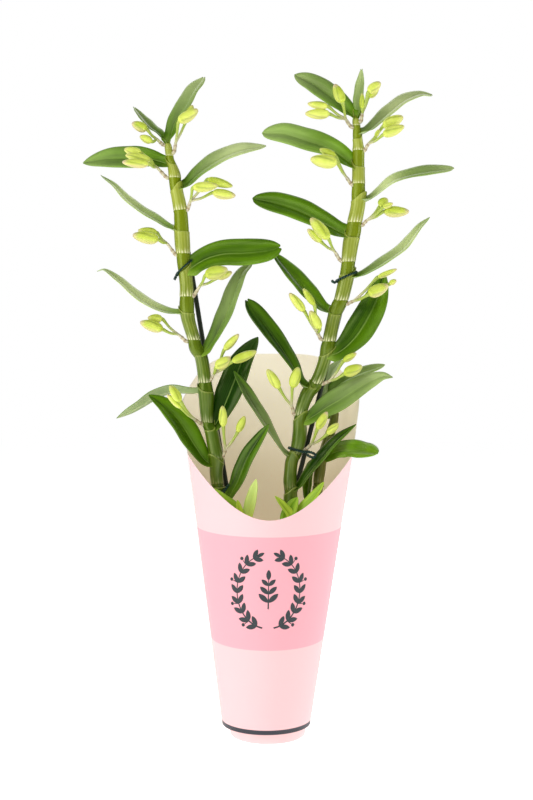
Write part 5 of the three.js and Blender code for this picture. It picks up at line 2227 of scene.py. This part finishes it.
@dataclass(frozen=True)
class Studio:
    """Floor, sky, lights and camera."""

    sky: float = 0.2
    backdrop: float = 1.0
    floor_size: float = 12.0
    lens: float = 50.85
    shift: float = -0.01625
    softboxes: Sequence[Softbox] = (
        Softbox("left_softbox", (-1.35, -1.0, 0.8), (0, 0, 0.4), (1.3, 1.4), 13.0),
        Softbox("right_softbox", (1.5, 0.1, 0.7), (0, 0, 0.4), (0.6, 1.4), 8.0),
        Softbox("front_softbox", (-0.1, -1.7, 1.7), (0, 0, 0.3), (1.2, 0.8), 7.0),
        Softbox("back_softbox", (0.0, 1.7, 2.1), (0, 0, 0.45), (3.0, 1.6), 18.0),
    )

    def build(self, palette: Palette) -> None:
        """Builds the studio round the plant.

        Args:
            palette: the finishes.
        """
        bpy.context.scene.view_settings.view_transform = "Standard"
        self._sky()
        for softbox in self.softboxes:
            softbox.build()
        self._floor(palette)
        self._camera()

    def _sky(self) -> None:
        """Lights the air softly, in front of a white backdrop."""
        world = bpy.data.worlds.new("studio_sky")
        world.use_nodes = True
        nodes, links = world.node_tree.nodes, world.node_tree.links
        level = nodes.new("ShaderNodeMapRange")
        level.inputs["To Min"].default_value = self.sky
        level.inputs["To Max"].default_value = self.backdrop
        links.new(nodes.new("ShaderNodeLightPath").outputs["Is Camera Ray"], level.inputs["Value"])
        links.new(level.outputs["Result"], nodes["Background"].inputs["Strength"])
        nodes["Background"].inputs["Color"].default_value = (1, 1, 1, 1)
        bpy.context.scene.world = world

    def _floor(self, palette: Palette) -> None:
        """Lays the floor."""
        mesh = bmesh.new()
        bmesh.ops.create_grid(mesh, x_segments=8, y_segments=8, size=self.floor_size / 2)
        put_mesh("studio_floor", mesh, (palette.floor,))

    def _camera(self) -> None:
        """Sets the camera at the eye point, level, looking along +Y."""
        data = bpy.data.cameras.new("camera")
        data.lens = self.lens
        data.shift_y = self.shift
        camera = put("camera", data)
        camera.location = Vector((EYE.x, -EYE.distance, EYE.height)) * MM
        camera.rotation_euler = (math.pi / 2, 0, 0)
        bpy.context.scene.camera = camera


# ---- the whole plant


@dataclass
class PottedOrchid:
    """The whole plant with its pot, bark, sleeve, sticks and ties."""

    pot: Pot = field(default_factory=Pot)
    bark: Bark = field(default_factory=Bark)
    sleeve: Sleeve = field(default_factory=Sleeve)
    wreath: Wreath = field(default_factory=Wreath)

    def build(self, palette: Palette) -> None:
        """Builds every piece, from the pot up.

        Args:
            palette: the finishes.
        """
        self.pot.build(palette)
        self.bark.build(self.pot, self._stems(), palette)
        self.sleeve.build(palette)
        self.wreath.build(self.sleeve, palette)
        grown = (palette.skin, palette.sheath, palette.blade, palette.under)
        for cane in CANES:
            cane.build(grown)
        OLD_CANE.build((palette.old_skin, palette.old_sheath, palette.blade, palette.under))
        young = (palette.young_skin, palette.young_skin, palette.young_blade, palette.young_under)
        for shoot in SHOOTS:
            shoot.build(grown if shoot.grown else young)
        for side, line, sprays in (("left", LEFT_LINE, LEFT_SPRAYS), ("right", RIGHT_LINE, RIGHT_SPRAYS)):
            for i, spray in enumerate(sprays, start=1):
                name, node = f"{side}_spray_{i:02}", f"bud_spray_{side}_{i:02}"
                SPRAY.build(name, node, line, spray, palette, SEED * i)
        for stick in (LEFT_STICK, RIGHT_STICK):
            stick.build(palette)
        for tie in TIES:
            tie.build(palette)

    def _stems(self) -> list[Vector]:
        """Where stems and sticks stand in the bark, in millimetres."""
        level = self.bark.top
        stems = [cane.line.centre(level) for cane in (*CANES, OLD_CANE)]
        stems += [place(shoot.stem[0][0], level, shoot.stem[0][1]) for shoot in SHOOTS]
        stems += [stick.centre(level) for stick in (LEFT_STICK, RIGHT_STICK)]
        return [stem / MM for stem in stems]


def main() -> None:
    """Builds the scene."""
    logging.basicConfig(level=logging.INFO, format="%(message)s")
    palette = Palette()
    Studio().build(palette)
    PottedOrchid().build(palette)


if __name__ == "__main__":
    main()
